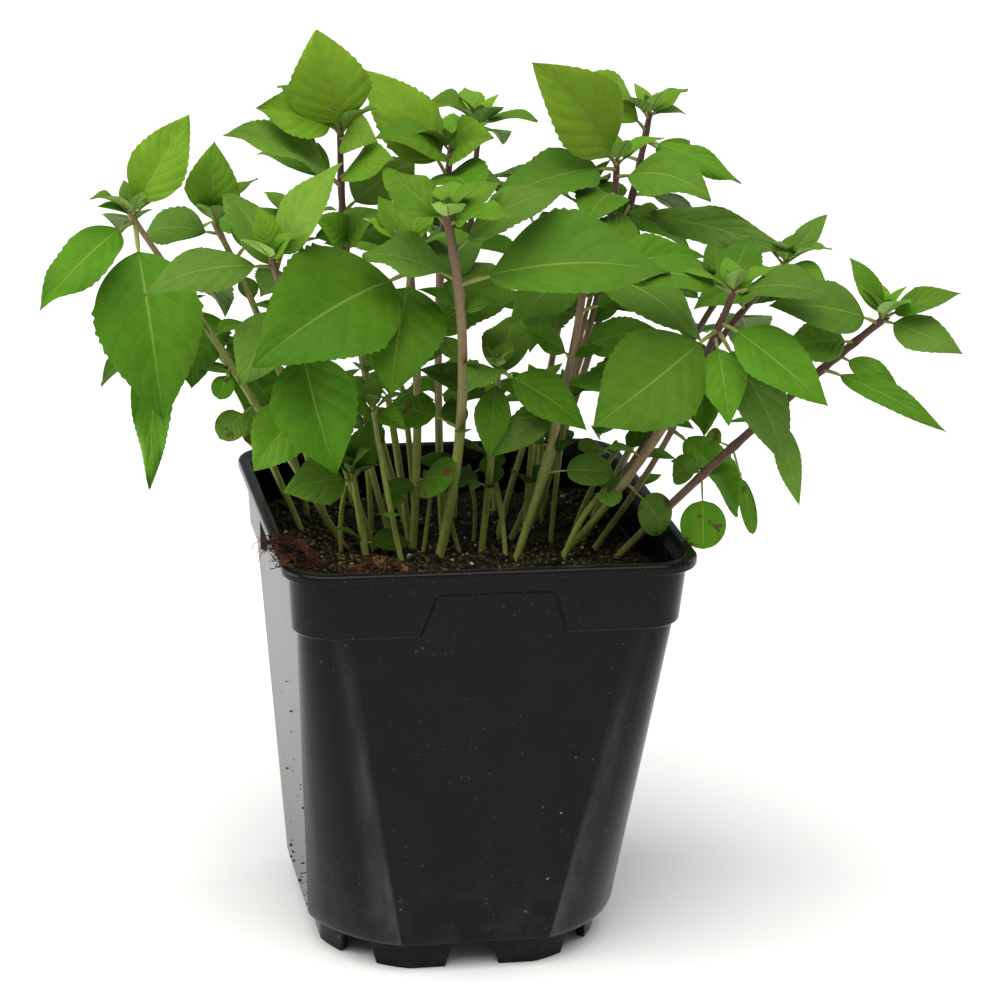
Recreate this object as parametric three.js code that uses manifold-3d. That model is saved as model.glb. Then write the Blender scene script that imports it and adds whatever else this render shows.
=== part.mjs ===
// Potted basil: a square nursery pot, peat soil and a crowd of young leafy shoots.
// Millimetres, +Z up. The origin is on the ground under the middle of the pot, +X runs to
// the right along the pot's front, and +Y runs towards its back.

import * as THREE from 'three';
import { mergeVertices } from 'three/addons/utils/BufferGeometryUtils.js';
import Module from 'manifold-3d';

const wasm = await Module();
wasm.setup();

// Pot. A level of its wall is [half width, corner cut, corner arc in degrees, height].
const POT_HEIGHT = 124.6;
const LIP_HALF = 57;
const LIP_CUT = 11.8;
const LIP_HEIGHT = 3;
const LIP_WIDTH = 3.4;
const COLLAR_HEIGHT = 19.6;
const COLLAR_HALF = [53.5, 54.8];
const COLLAR_CUT = 11;
const COLLAR_PROUD = 1.5;
const BASE_HALF = 44;
const BASE_CUT = 23;
const BASE_ARC = 52;
const WALL = 1.2;
const FLOOR = 1.6;
const WAIST = 58;
const CORNER_STEPS = 4;
const PANEL = { top: 30.5, bottom: 39, below_lip: 7 };
const FOOT = { height: 8.7, inset: 3.3, wall: 2.4, side_gap: 11, corner_gap: 8, slope: 2.2 };
const DRAIN = { radius: 4, reach: 24 };

// Soil and what lies on it.
const GAP = 0.3;
const SOIL_TOP = 111;
const ROOT_DEPTH = 14;
const HEAP = 7;
const GRAINS = 12;
const GRAIN_RADIUS = 1.3;

// The fibre tuft: a core along the front left edge of the soil and strands over the lip.
const TUFT = { start: [-47, -12], corner: [-50, -49], end: [-20, -44], rise: 1.5, radius: 2.2 };
const STRANDS = { count: 4, radius: 0.8, up: [-50, 132], over: [-61, 132], down: [-60, 116] };

// Leaves. A blade is a thin folded shell on a short stalk.
const BLADE = 0.7;
const STALK_HALF = 0.5;
const STALK_SHARE = 0.16;
const WIDEST = 0.4;
const FOLD = 0.22;
const ARCH = 0.1;
const TOOTH = 0.13;
const LONG_LEAF = { length: 38, columns: 2, rows: [0.13, 0.32, 0.5, 0.68, 0.85] };
const MIDDLE_LEAF = { length: 26, columns: 2, rows: [0.15, 0.38, 0.62, 0.84] };
const SHORT_LEAF = { length: 0, columns: 1, rows: [0.2, 0.5, 0.8] };
const STEM_SIDES = 4;
const STEM_STEPS = 5;
const STEM_TAPER = 0.72;
const FRONT = new THREE.Vector3(-0.2, -0.93, 0.3);
const UP = new THREE.Vector3(0, 0, 1);

// Turns that a leaf may take to clear its neighbours, in degrees and as a share of its size.
const SIZES = [1, 0.87, 0.74, 0.62];
const SWINGS = [0, 8, -8, 16, -16, 25, -25];
const LIFTS = [0, 7, -7, 14, -14, 22, -22, 32, -32];

// The shoots. Each has a foot on the soil, a bend that pulls its stem and a top, and girth
// is the stem's thickness there. A leaf is [place along the stem, tip x, y, z, width as a
// share of length, turn of its face from the sky (0) to the front (1) or the back (-1)].
// The pairs of a shoot that has a seed are worked out by rule.
const SHOOTS = [
  { name: 'shoot_front', foot: [-8, -13], bend: [3, -19, 159], top: [-15, -44, 219], girth: 3.8,
    leaves: [
      [0.99, 0, -37, 226, 0.55, 0.3], [0.99, -22, -50, 226, 0.5, 0.2],
      [0.97, -1, -58, 222, 0.5, 0.4], [0.96, -29, -26, 227, 0.5, 0.5],
      [0.9, 16, -43, 225, 0.5, 0.3], [0.83, -34, -28, 205, 0.58, 0.4],
      [0.82, 43, -54, 206, 0.5, 0.5], [0.8, -8, -2, 204, 0.5, 0.3],
      [0.46, -18, -4, 156, 0.5, 0.6], [0.78, 3, -20, 199, 0.6, 0.6],
    ] },
  { name: 'shoot_front_left', foot: [-14, -5], bend: [-12, -8, 160], top: [-20, -17, 202], girth: 3.2,
    leaves: [
      [0.93, -64, -43, 180, 0.62, 0.8], [0.93, -28, -42, 170, 0.66, 0.9],
      [0.99, -14, -6, 216, 0.5, 0.2], [0.99, -26, -4, 214, 0.5, 0.2],
      [0.7, 12, -14, 190, 0.5, 0.4], [0.3, 1, -22, 132, 0.6, 0.7],
    ] },
  { name: 'shoot_left_front', foot: [-24, -2], bend: [-42, -6, 160], top: [-58, -26, 203], girth: 2.8,
    leaves: [
      [0.99, -61, -22, 216, 0.55, 0.4], [0.99, -53, -31, 211, 0.6, 0.5],
      [0.97, -92, -31, 196, 0.42, 0.5], [0.95, -30, -22, 220, 0.45, 0.3],
      [0.92, -68, -2, 216, 0.42, 0.3], [0.86, -66, -24, 168, 0.6, 0.7],
      [0.74, -41, -36, 146, 0.6, 0.95], [0.55, -60, -10, 139, 0.6, 0.7],
    ] },
  { name: 'shoot_left', foot: [-32, 4], bend: [-68, 8, 172], top: [-92, 9, 207], girth: 2.8,
    leaves: [
      [0.99, -76, 10, 234, 0.5, 0.9], [0.99, -101, 5, 210, 0.5, 0.3],
      [0.97, -118, -14, 187, 0.4, 0.45], [0.97, -85, -12, 155, 0.54, 0.9],
      [0.96, -92, 36, 196, 0.5, 0.2], [0.84, -86, 14, 126, 0.17, 0.8],
      [0.8, -60, 36, 180, 0.5, 0.2], [0.42, -68, 1, 145, 0.6, 0.7],
      [0.52, -68, 2, 156, 0.6, 0.6],
    ] },
  { name: 'shoot_left_back', foot: [-34, 20], bend: [-48, 22, 165], top: [-67, 27, 200], girth: 2.8,
    leaves: [
      [0.99, -68, 19, 224, 0.58, 0.7], [0.99, -56, 20, 214, 0.4, 0.3],
      [0.97, -62, 38, 213, 0.5, -0.3], [0.95, -86, 42, 193, 0.5, 0.6],
      [0.85, -40, 54, 188, 0.55, 0.2], [0.82, -72, 52, 168, 0.5, 0.3],
      [0.45, -58, 8, 140, 0.6, 0.7],
    ] },
  { name: 'shoot_top_left', foot: [-12, 12], bend: [-34, 14, 170], top: [-33, 20, 228], girth: 3,
    leaves: [
      [0.98, -41, 14, 256, 0.72, 0.9], [0.99, -57, 14, 235, 0.6, 0.7],
      [0.98, -48, 38, 237, 0.5, 0.3], [0.86, -66, 10, 229, 0.5, 0.4],
      [0.86, -54, 36, 218, 0.5, 0.3], [0.88, -22, -2, 224, 0.55, 0.6],
      [0.8, -10, 32, 216, 0.6, 0.6], [0.72, -42, 6, 206, 0.6, 0.7],
      [0.72, -24, 6, 208, 0.6, 0.6], [0.97, -26, 4, 228, 0.7, 0.8],
    ] },
  { name: 'shoot_top_middle', foot: [-4, 2], bend: [-8, 14, 165], top: [-1, 24, 222], girth: 2.8,
    leaves: [
      [0.92, -26, 26, 243, 0.5, 0.6], [0.96, -25, 8, 228, 0.6, 0.5],
      [0.97, 7, 6, 228, 0.72, 0.7], [0.92, 2, -8, 214, 0.55, 0.6],
      [0.9, 20, 40, 205, 0.5, 0.3], [0.82, -14, 48, 198, 0.55, 0.3],
    ] },
  { name: 'shoot_back_middle', foot: [4, 28], bend: [6, 36, 170], top: [11, 45, 224], girth: 2.8,
    leaves: [
      [0.99, -6, 37, 231, 0.5, 0.3], [0.99, 26, 36, 226, 0.5, 0.2],
      [0.97, 22, 62, 214, 0.45, 0.2], [0.95, -4, 66, 214, 0.5, 0.5],
      [0.85, 34, 50, 196, 0.5, 0.2], [0.82, -10, 56, 184, 0.5, 0.2],
    ] },
  { name: 'shoot_top_right', foot: [16, 4], bend: [44, 10, 170], top: [45, 17, 219], girth: 2.8,
    leaves: [
      [0.98, 18, 9, 248, 0.54, 0.8], [0.97, 7, 3, 211, 0.5, 0.4],
      [0.95, 66, -6, 214, 0.58, 0.5], [0.9, 30, -10, 204, 0.5, 0.4],
      [0.85, 54, 48, 200, 0.5, 0.2], [0.8, 18, 24, 190, 0.5, 0.2],
      [0.35, 36, -4, 127, 0.6, 0.8],
    ] },
  { name: 'shoot_far_top', foot: [26, 20], bend: [48, 26, 172], top: [58, 33, 229], girth: 2.8,
    leaves: [
      [0.95, 33, 30, 240, 0.52, 0.5], [0.99, 70, 38, 227, 0.5, 0.3],
      [0.93, 80, 12, 213, 0.26, 0.7], [0.93, 76, 40, 205, 0.55, 0.7],
      [0.76, 92, -6, 197, 0.22, 0.8], [0.88, 34, 58, 208, 0.5, 0.2],
      [0.8, 76, 52, 190, 0.5, 0.2], [0.78, 38, 12, 186, 0.5, 0.4],
    ] },
  { name: 'shoot_right_back', foot: [38, 6], bend: [68, 2, 168], top: [91, -1, 193], girth: 2.8,
    leaves: [
      [0.99, 103, 3, 206, 0.36, 0.6], [0.99, 99, -13, 190, 0.5, 0.5],
      [0.9, 96, 26, 178, 0.5, 0.3], [0.86, 62, -12, 184, 0.5, 0.5],
      [0.75, 86, 24, 160, 0.5, 0.3],
    ] },
  { name: 'shoot_right_front', foot: [26, -14], bend: [52, -34, 149], top: [62, -50, 199], girth: 3,
    leaves: [
      [0.99, 84, -66, 201, 0.5, 0.4], [0.99, 27, -50, 204, 0.4, 0.4],
      [0.9, 83, -72, 173, 0.44, 0.6], [0.94, 74, -24, 206, 0.42, 0.3],
      [0.88, 24, -56, 164, 0.64, 0.9], [0.86, 60, -60, 165, 0.5, 0.7],
      [0.88, 77, -56, 152, 0.34, 0.8], [0.4, 53, -27, 124, 0.6, 0.6],
    ] },
  { name: 'shoot_far_right', foot: [42, -14], bend: [64, -42, 153], top: [105, -50, 191], girth: 3.4,
    leaves: [
      [0.99, 95, -45, 206, 0.36, 0.6], [0.99, 121, -61, 200, 0.36, 0.6],
      [0.98, 121, -66, 185, 0.5, 0.6], [0.8, 116, -72, 166, 0.2, 0.7],
      [0.97, 71, -54, 196, 0.5, 0.6], [0.85, 108, -58, 171, 0.36, 0.7],
      [0.9, 76, -52, 183, 0.6, 0.7], [0.66, 84, -50, 138, 0.26, 0.8],
      [0.66, 72, -28, 164, 0.6, 0.7], [0.52, 63, -26, 150, 0.6, 0.8],
      [0.46, 55, -24, 139, 0.6, 0.7], [0.42, 61, -38, 122, 0.6, 0.9],
      [0.52, 75, -38, 126, 0.17, 0.8],
    ] },
  { name: 'shoot_middle', foot: [13, -16], bend: [24, -22, 150], top: [29, -20, 199], girth: 3.2,
    leaves: [
      [0.98, 55, -46, 184, 0.45, 0.4], [0.98, 6, -30, 186, 0.6, 0.5],
      [0.96, 44, 0, 210, 0.5, 0.6], [0.94, 22, 6, 208, 0.5, 0.3],
      [0.86, 56, -24, 190, 0.5, 0.4], [0.62, 2, -30, 148, 0.36, 0.8],
      [0.4, 38, -24, 140, 0.5, 0.6], [0.95, 62, -18, 200, 0.42, 0.5],
    ] },
  { name: 'shoot_low_middle', foot: [5, -8], bend: [6, -14, 140], top: [5, -22, 171], girth: 2.8,
    leaves: [
      [0.98, 28, -33, 156, 0.44, 0.7], [0.98, -14, -34, 170, 0.5, 0.4],
      [0.96, 1, -32, 149, 0.44, 0.9], [0.9, 14, 2, 178, 0.5, 0.3],
      [0.8, -14, -6, 166, 0.5, 0.3],
    ] },
  { name: 'shoot_back_left', foot: [-24, 36], bend: [-34, 40, 160], top: [-42, 42, 195], girth: 2.8,
    seed: 11, heading: 60 },
  { name: 'shoot_back_right', foot: [28, 38], bend: [34, 42, 160], top: [44, 43, 205], girth: 2.8,
    seed: 23, heading: 70 },
  { name: 'shoot_back', foot: [2, 38], bend: [0, 42, 155], top: [0, 42, 190], girth: 2.8,
    seed: 37, heading: 45 },
  { name: 'shoot_side_left', foot: [-42, 20], bend: [-60, 30, 154], top: [-73, 34, 178], girth: 2.8,
    seed: 41, heading: 10 },
  { name: 'shoot_side_right', foot: [44, 22], bend: [66, 30, 150], top: [82, 32, 176], girth: 2.8,
    seed: 53, heading: 80 },
  { name: 'shoot_low_left', foot: [-28, -12], bend: [-30, -10, 124], top: [-32, -9, 136], girth: 2.8,
    leaves: [
      [0.97, -52, -16, 135, 0.66, 0.8], [0.97, -17, -15, 147, 0.5, 0.6],
      [0.99, -38, 6, 146, 0.5, 0.3], [0.99, -30, -20, 148, 0.4, 0.5],
    ] },
  { name: 'shoot_thin_left', foot: [-19, -20], bend: [-25, -18, 136], top: [-28, -15, 158], girth: 2.2,
    leaves: [
      [0.97, -37, -21, 160, 0.6, 0.6], [0.97, -21, -27, 155, 0.5, 0.6],
      [0.99, -27, -6, 164, 0.5, 0.4],
    ] },
  { name: 'shoot_thin_middle', foot: [18, -3], bend: [19, -4, 136], top: [22, 6, 157], girth: 2.2,
    leaves: [
      [0.7, 17, -11, 147, 0.6, 0.6], [0.97, 31, 0, 160, 0.5, 0.5],
      [0.97, 13, 4, 160, 0.5, 0.4],
    ] },
  { name: 'shoot_thin_right', foot: [27, 2], bend: [27, 3, 142], top: [38, 11, 182], girth: 2.2,
    leaves: [
      [0.8, 54, -3, 175, 0.5, 0.6], [0.98, 26, -2, 184, 0.5, 0.4],
      [0.98, 48, 18, 190, 0.5, 0.4],
    ] },
  { name: 'shoot_low_right', foot: [38, -6], bend: [56, -10, 138], top: [62, -12, 160], girth: 2.8,
    seed: 71, heading: 120 },
];
const PAIRS = [
  { place: 0.75, length: 34, pitch: -20 },
  { place: 0.93, length: 36, pitch: 5 },
  { place: 0.99, length: 17, pitch: 45 },
];

// Colours.
const BLACK_PLASTIC = new THREE.MeshStandardMaterial({ color: 0x202124, roughness: 0.35, metalness: 0 });
const PEAT = new THREE.MeshStandardMaterial({ color: 0x2a1a10, roughness: 0.95, metalness: 0 });
const FIBRE = new THREE.MeshStandardMaterial({ color: 0x6b3a22, roughness: 0.9, metalness: 0 });
const LEAF = new THREE.MeshStandardMaterial({ color: 0x4c8a26, roughness: 0.5, metalness: 0 });

const radians = (degrees) => degrees * Math.PI / 180;

// A repeatable random number between 0 and 1.
function makeRandom(seed) {
  let state = seed;
  return () => {
    state = (state * 16807) % 2147483647;
    return state / 2147483647;
  };
}

// A closed geometry as a solid, with its faces turned outwards.
function makeSolid(geometry) {
  const bare = geometry.clone();
  bare.deleteAttribute('normal');
  bare.deleteAttribute('uv');
  const merged = mergeVertices(bare, 1e-4);
  const places = merged.attributes.position.array;
  const corners = Array.from(merged.index.array);
  const triangles = [];
  let volume = 0;
  for (let i = 0; i < corners.length; i += 3) {
    const [a, b, c] = corners.slice(i, i + 3);
    if (a === b || b === c || c === a) continue;
    const [p, q, r] = [a, b, c].map((k) => new THREE.Vector3().fromArray(places, 3 * k));
    volume += p.dot(q.cross(r));
    triangles.push([a, b, c]);
  }
  const turned = volume < 0 ? triangles.map(([a, b, c]) => [a, c, b]) : triangles;
  const mesh = new wasm.Mesh({
    numProp: 3,
    vertProperties: Float32Array.from(places),
    triVerts: Uint32Array.from(turned.flat()),
  });
  return new wasm.Manifold(mesh);
}

function makeMesh(name, solid, material) {
  const { vertProperties, triVerts } = solid.getMesh();
  const geometry = new THREE.BufferGeometry();
  geometry.setAttribute('position', new THREE.BufferAttribute(vertProperties, 3));
  geometry.setIndex(new THREE.BufferAttribute(triVerts, 1));
  geometry.computeVertexNormals();
  const mesh = new THREE.Mesh(geometry, material);
  mesh.name = name;
  return mesh;
}

// A point on a square with cut corners. Step counts round it, and each corner is an arc.
function onSquare(half, cut, arc, step) {
  const quarter = Math.floor(step / (CORNER_STEPS + 1));
  const share = (step % (CORNER_STEPS + 1)) / CORNER_STEPS - 0.5;
  const radius = cut * Math.SQRT1_2 / Math.sin(radians(arc / 2));
  const centre = half - cut / 2 - radius * Math.cos(radians(arc / 2)) * Math.SQRT1_2;
  const angle = radians(45 + share * arc);
  const x = centre + radius * Math.cos(angle);
  const y = centre + radius * Math.sin(angle);
  const turn = quarter * Math.PI / 2;
  return [x * Math.cos(turn) - y * Math.sin(turn), x * Math.sin(turn) + y * Math.cos(turn)];
}

// A lathe whose rings are squares with cut corners instead of circles.
function squareLathe(levels, lift = () => 0) {
  const steps = 4 * (CORNER_STEPS + 1);
  const profile = levels.map(([half, , , z]) => new THREE.Vector2(half, z));
  const lathe = new THREE.LatheGeometry(profile, steps);
  const position = lathe.attributes.position;
  for (let i = 0; i < position.count; i += 1) {
    const step = Math.floor(i / levels.length) % steps;
    const [half, cut, arc, z] = levels[i % levels.length];
    const [x, y] = half > 0 ? onSquare(half, cut, arc, step) : [0, 0];
    position.setXYZ(i, x, y, z + lift(x, y, i % levels.length));
  }
  return makeSolid(lathe);
}

// The wall's outside at a height, from the base to just under the lip.
function wallAt(z) {
  const collar = POT_HEIGHT - COLLAR_HEIGHT;
  const share = (z - FOOT.height) / (collar - FOOT.height);
  const top = COLLAR_HALF[0] - COLLAR_PROUD;
  const lean = THREE.MathUtils.lerp(BASE_HALF, top, share);
  const cut = THREE.MathUtils.lerp(BASE_CUT, COLLAR_CUT - COLLAR_PROUD, Math.min(share, 1));
  const arc = THREE.MathUtils.lerp(BASE_ARC, 90, Math.min(share, 1));
  return [lean, cut, arc];
}

// The wall's inside at a height, drawn in by a clearance.
function insideAt(z, clearance = 0) {
  const [half, cut, arc] = wallAt(z);
  return [half - WALL - clearance, cut - 0.5 * (WALL + clearance), arc, z];
}

function makePot() {
  const collar = POT_HEIGHT - COLLAR_HEIGHT;
  const lip = POT_HEIGHT - LIP_HEIGHT;
  const floorTop = FOOT.height + FLOOR;
  const body = squareLathe([
    [0, 0, 0, FOOT.height],
    [BASE_HALF - 1, BASE_CUT, BASE_ARC, FOOT.height],
    [BASE_HALF, BASE_CUT, BASE_ARC, FOOT.height + 1],
    [...wallAt(WAIST), WAIST],
    [...wallAt(collar - 0.6), collar - 0.6],
    [COLLAR_HALF[0] - 0.4, COLLAR_CUT, 90, collar],
    [COLLAR_HALF[0], COLLAR_CUT, 90, collar + 0.6],
    [COLLAR_HALF[1], COLLAR_CUT + 0.6, 90, lip - 0.4],
    [LIP_HALF - 0.3, LIP_CUT, 90, lip],
    [LIP_HALF, LIP_CUT, 90, lip + 0.7],
    [LIP_HALF, LIP_CUT, 90, POT_HEIGHT - 1],
    [LIP_HALF - 0.9, LIP_CUT - 0.4, 90, POT_HEIGHT],
    [LIP_HALF - LIP_WIDTH + 0.4, LIP_CUT - 1.4, 90, POT_HEIGHT - 0.2],
    insideAt(lip - 1),
    insideAt(SOIL_TOP),
    insideAt(WAIST),
    insideAt(floorTop),
    [0, 0, 0, floorTop],
  ]);
  return cutDrains(cutPanels(body)).add(makeFeet());
}

// The sunken panel in the middle of the collar on each side.
function cutPanels(body) {
  const bottom = POT_HEIGHT - COLLAR_HEIGHT - 1;
  const height = COLLAR_HEIGHT + 1 - PANEL.below_lip;
  const outline = new THREE.Shape([
    new THREE.Vector2(-PANEL.bottom / 2, 0), new THREE.Vector2(PANEL.bottom / 2, 0),
    new THREE.Vector2(PANEL.top / 2, height), new THREE.Vector2(-PANEL.top / 2, height),
  ]);
  const [foot] = wallAt(bottom);
  const [head] = wallAt(bottom + height);
  let result = body;
  for (let side = 0; side < 4; side += 1) {
    const cutter = new THREE.ExtrudeGeometry(outline, { depth: 5, bevelEnabled: false });
    cutter.rotateX(Math.PI / 2 + Math.atan((head - foot) / height));
    cutter.translate(0, -foot - 0.1, bottom);
    cutter.rotateZ(side * Math.PI / 2);
    result = result.subtract(makeSolid(cutter));
  }
  return result;
}

function cutDrains(body) {
  let result = body;
  for (let i = 0; i < 5; i += 1) {
    const angle = Math.PI / 4 + i * Math.PI / 2;
    const reach = i < 4 ? DRAIN.reach : 0;
    const drill = new THREE.CylinderGeometry(DRAIN.radius, DRAIN.radius, 4 * FLOOR, 8);
    drill.rotateX(Math.PI / 2);
    drill.translate(reach * Math.cos(angle), reach * Math.sin(angle), FOOT.height + FLOOR / 2);
    result = result.subtract(makeSolid(drill));
  }
  return result;
}

// Eight curved feet: a ring under the base, parted at each side and each corner.
function makeFeet() {
  const outer = BASE_HALF - FOOT.inset;
  const inner = outer - FOOT.wall;
  const top = FOOT.height + FLOOR / 2;
  const ring = squareLathe([
    [outer - 0.8, BASE_CUT - 1, BASE_ARC, 0], [outer, BASE_CUT - 1, BASE_ARC, top],
    [inner, BASE_CUT - 2, BASE_ARC, top], [inner, BASE_CUT - 2, BASE_ARC, 0],
    [outer - 0.8, BASE_CUT - 1, BASE_ARC, 0],
  ]);
  let feet = ring;
  for (let i = 0; i < 8; i += 1) {
    const half = (i % 2 ? FOOT.corner_gap : FOOT.side_gap) / 2;
    const wedge = new THREE.Shape([
      new THREE.Vector2(-half - FOOT.slope, -1), new THREE.Vector2(half + FOOT.slope, -1),
      new THREE.Vector2(half, FOOT.height - 0.01), new THREE.Vector2(-half, FOOT.height - 0.01),
    ]);
    const cutter = new THREE.ExtrudeGeometry(wedge, { depth: LIP_HALF, bevelEnabled: false });
    cutter.rotateX(Math.PI / 2);
    cutter.rotateZ(i * Math.PI / 4);
    feet = feet.subtract(makeSolid(cutter));
  }
  return feet;
}

// Height of the soil over its mean level. It is heaped a little towards the front left.
function relief(x, y) {
  const waves = 1.1 * Math.sin(x / 9 + 1) * Math.cos(y / 11) + 0.7 * Math.sin(x / 4.3 + y / 5.1);
  return waves + HEAP * ((50 - y - 0.3 * x) / 100) ** 2 - 1;
}

function makeSoil(holes) {
  const rings = [0.2, 0.42, 0.64, 0.84, 1];
  const floor = FOOT.height + FLOOR + GAP;
  const [half, cut, arc] = insideAt(SOIL_TOP, GAP);
  const top = rings.map((share) => [half * share, cut * share, arc, SOIL_TOP]);
  const sides = [insideAt(WAIST, GAP), insideAt(floor, GAP), [0, 0, 0, floor]];
  const levels = [[0, 0, 0, SOIL_TOP], ...top, ...sides];
  let soil = squareLathe(levels, (x, y, level) => (level <= rings.length ? relief(x, y) : 0));
  const random = makeRandom(5);
  for (let i = 0; i < GRAINS; i += 1) {
    const x = (random() - 0.5) * 1.8 * (half - 4);
    const y = (random() - 0.5) * 1.8 * (half - 4);
    const grain = new THREE.OctahedronGeometry(GRAIN_RADIUS * (0.7 + 0.5 * random()));
    grain.rotateX(3 * random());
    grain.rotateY(3 * random());
    grain.translate(x, y, SOIL_TOP + relief(x, y) + 0.3);
    soil = soil.add(makeSolid(grain));
  }
  for (const hole of holes) soil = soil.subtract(hole);
  const pieces = soil.decompose();
  return pieces.reduce((best, piece) => (piece.volume() > best.volume() ? piece : best));
}

// Fibres matted along the edge of the soil, with strands that hang over the left lip.
function makeTuft(swell = 0) {
  const [start, corner, end] = [TUFT.start, TUFT.corner, TUFT.end].map(
    ([x, y]) => new THREE.Vector3(x, y, SOIL_TOP + relief(x, y) + TUFT.rise));
  const core = new THREE.QuadraticBezierCurve3(start, corner, end);
  let tuft = bentBar(core, TUFT.radius * 0.7, TUFT.radius, 5, 4, swell);
  const random = makeRandom(19);
  for (let i = 0; i < STRANDS.count; i += 1) {
    const root = core.getPoint(0.04 + 0.4 * i / STRANDS.count);
    const sway = 6 * (random() - 0.5);
    const up = new THREE.Vector3(STRANDS.up[0], root.y, STRANDS.up[1]);
    const over = new THREE.Vector3(STRANDS.over[0], root.y + sway, STRANDS.over[1]);
    const down = new THREE.Vector3(STRANDS.down[0], root.y + 1.5 * sway, STRANDS.down[1] + 3 * random());
    const strand = new THREE.CubicBezierCurve3(root, up, over, down);
    tuft = tuft.add(bentBar(strand, STRANDS.radius, STRANDS.radius * 0.7, 4, 4, swell));
  }
  return tuft;
}

// A bar bent along a curve, thinner towards its end. Swell makes a fatter, longer one.
function bentBar(curve, thick, thin, sides, steps, swell) {
  const bar = new THREE.CylinderGeometry(thin + swell, thick + swell, 1, sides, steps);
  const { tangents, normals, binormals } = curve.computeFrenetFrames(steps);
  const position = bar.attributes.position;
  for (let i = 0; i < position.count; i += 1) {
    const step = Math.round((position.getY(i) + 0.5) * steps);
    const point = curve.getPointAt(step / steps);
    if (step === 0) point.addScaledVector(tangents[step], -swell);
    if (step === steps) point.addScaledVector(tangents[step], swell);
    point.addScaledVector(normals[step], position.getX(i));
    point.addScaledVector(binormals[step], position.getZ(i));
    position.setXYZ(i, point.x, point.y, point.z);
  }
  return makeSolid(bar);
}

// The line of a stem: its root lies below the foot, in line with the bend.
function stemCurve(shoot) {
  const foot = new THREE.Vector3(shoot.foot[0], shoot.foot[1], SOIL_TOP);
  const bend = new THREE.Vector3(...shoot.bend);
  const slope = bend.clone().sub(foot).multiplyScalar(ROOT_DEPTH / (bend.z - foot.z));
  return new THREE.QuadraticBezierCurve3(foot.sub(slope), bend, new THREE.Vector3(...shoot.top));
}

function makeStem(shoot, swell = 0) {
  const radius = shoot.girth / 2;
  return bentBar(stemCurve(shoot), radius, radius * STEM_TAPER, STEM_SIDES, STEM_STEPS, swell);
}

// The leaves of a shoot whose pairs follow the rule: each pair stands across the last one.
function leavesByRule(shoot) {
  const random = makeRandom(shoot.seed);
  const curve = stemCurve(shoot);
  const leaves = [];
  PAIRS.forEach((pair, order) => {
    const node = curve.getPoint(pair.place);
    for (let side = 0; side < 2; side += 1) {
      const heading = radians(shoot.heading + 90 * order + 180 * side + 30 * (random() - 0.5));
      const pitch = radians(pair.pitch + 24 * (random() - 0.5));
      const length = pair.length * (0.85 + 0.3 * random());
      leaves.push([
        pair.place,
        node.x + length * Math.cos(pitch) * Math.cos(heading),
        node.y + length * Math.cos(pitch) * Math.sin(heading),
        node.z + length * Math.sin(pitch),
        0.5 + 0.12 * random(),
        0.5 * random() - 0.1,
      ]);
    }
  });
  return leaves;
}

// How wide a leaf is along its blade, from 0 at both ends to 1 where it is widest.
function bladeShape(share) {
  const power = Math.log(0.5) / Math.log(WIDEST);
  return Math.sin(Math.PI * share ** power) ** 0.85;
}

// The solid of one leaf after it is swung, lifted and sized. Swell makes a fatter test shape.
function makeLeaf(curve, leaf, [swing, lift, size], swell = 0) {
  const [place, x, y, z, width, face] = leaf;
  const base = curve.getPoint(place);
  const reach = new THREE.Vector3(x, y, z).sub(base);
  const length = reach.length() * size;
  const heading = Math.atan2(reach.y, reach.x) + radians(swing);
  const pitch = Math.asin(reach.z / reach.length()) + radians(lift);
  const forward = new THREE.Vector3(
    Math.cos(pitch) * Math.cos(heading), Math.cos(pitch) * Math.sin(heading), Math.sin(pitch));
  const normal = UP.clone().multiplyScalar(1.001 - Math.abs(face)).addScaledVector(FRONT, face);
  normal.addScaledVector(forward, -normal.dot(forward)).normalize();
  const side = forward.clone().cross(normal);

  const kind = [LONG_LEAF, MIDDLE_LEAF, SHORT_LEAF].find((one) => length > one.length);
  const count = kind.rows.length + 2;
  const box = new THREE.BoxGeometry(1, 1, 1, kind.columns, 1, count);
  const position = box.attributes.position;
  for (let i = 0; i < position.count; i += 1) {
    const row = Math.round((position.getZ(i) + 0.5) * count);
    let along = row === 0 ? 0 : STALK_SHARE;
    let half = STALK_HALF;
    if (row >= 2 && row < count) {
      const share = kind.rows[row - 2];
      const tooth = row === 2 ? 0 : TOOTH * Math.sign(position.getX(i)) * (-1) ** row;
      along = STALK_SHARE + (1 - STALK_SHARE) * share;
      half = 0.5 * width * length * bladeShape(share) * (1 + tooth);
    } else if (row === count) {
      along = 1 + swell / length;
      half = 0.4;
    }
    const across = 2 * position.getX(i) * (half + swell);
    const thick = 2 * position.getY(i) * (BLADE / 2 + swell);
    const rise = 4 * ARCH * length * along * (1 - along) + FOLD * Math.abs(across);
    const point = base.clone().addScaledVector(forward, along * length);
    point.addScaledVector(side, across).addScaledVector(normal, rise + thick);
    position.setXYZ(i, point.x, point.y, point.z);
  }
  splitAlike(box);
  return makeSolid(box);
}

// Turns the diagonals of a box's lower face, so that both faces are split alike.
function splitAlike(box) {
  const corners = box.index.array;
  const { start, count } = box.groups[3];
  for (let i = start; i < start + count; i += 6) {
    const [a, b, d, , c] = corners.slice(i, i + 5);
    corners.set([a, b, c, a, c, d], i);
  }
}

function touches(solid, others) {
  const box = solid.boundingBox();
  return others.some((other) => {
    const near = other.boundingBox();
    for (let k = 0; k < 3; k += 1) {
      if (box.min[k] > near.max[k] || near.min[k] > box.max[k]) return false;
    }
    return !solid.intersect(other).isEmpty();
  });
}

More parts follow.
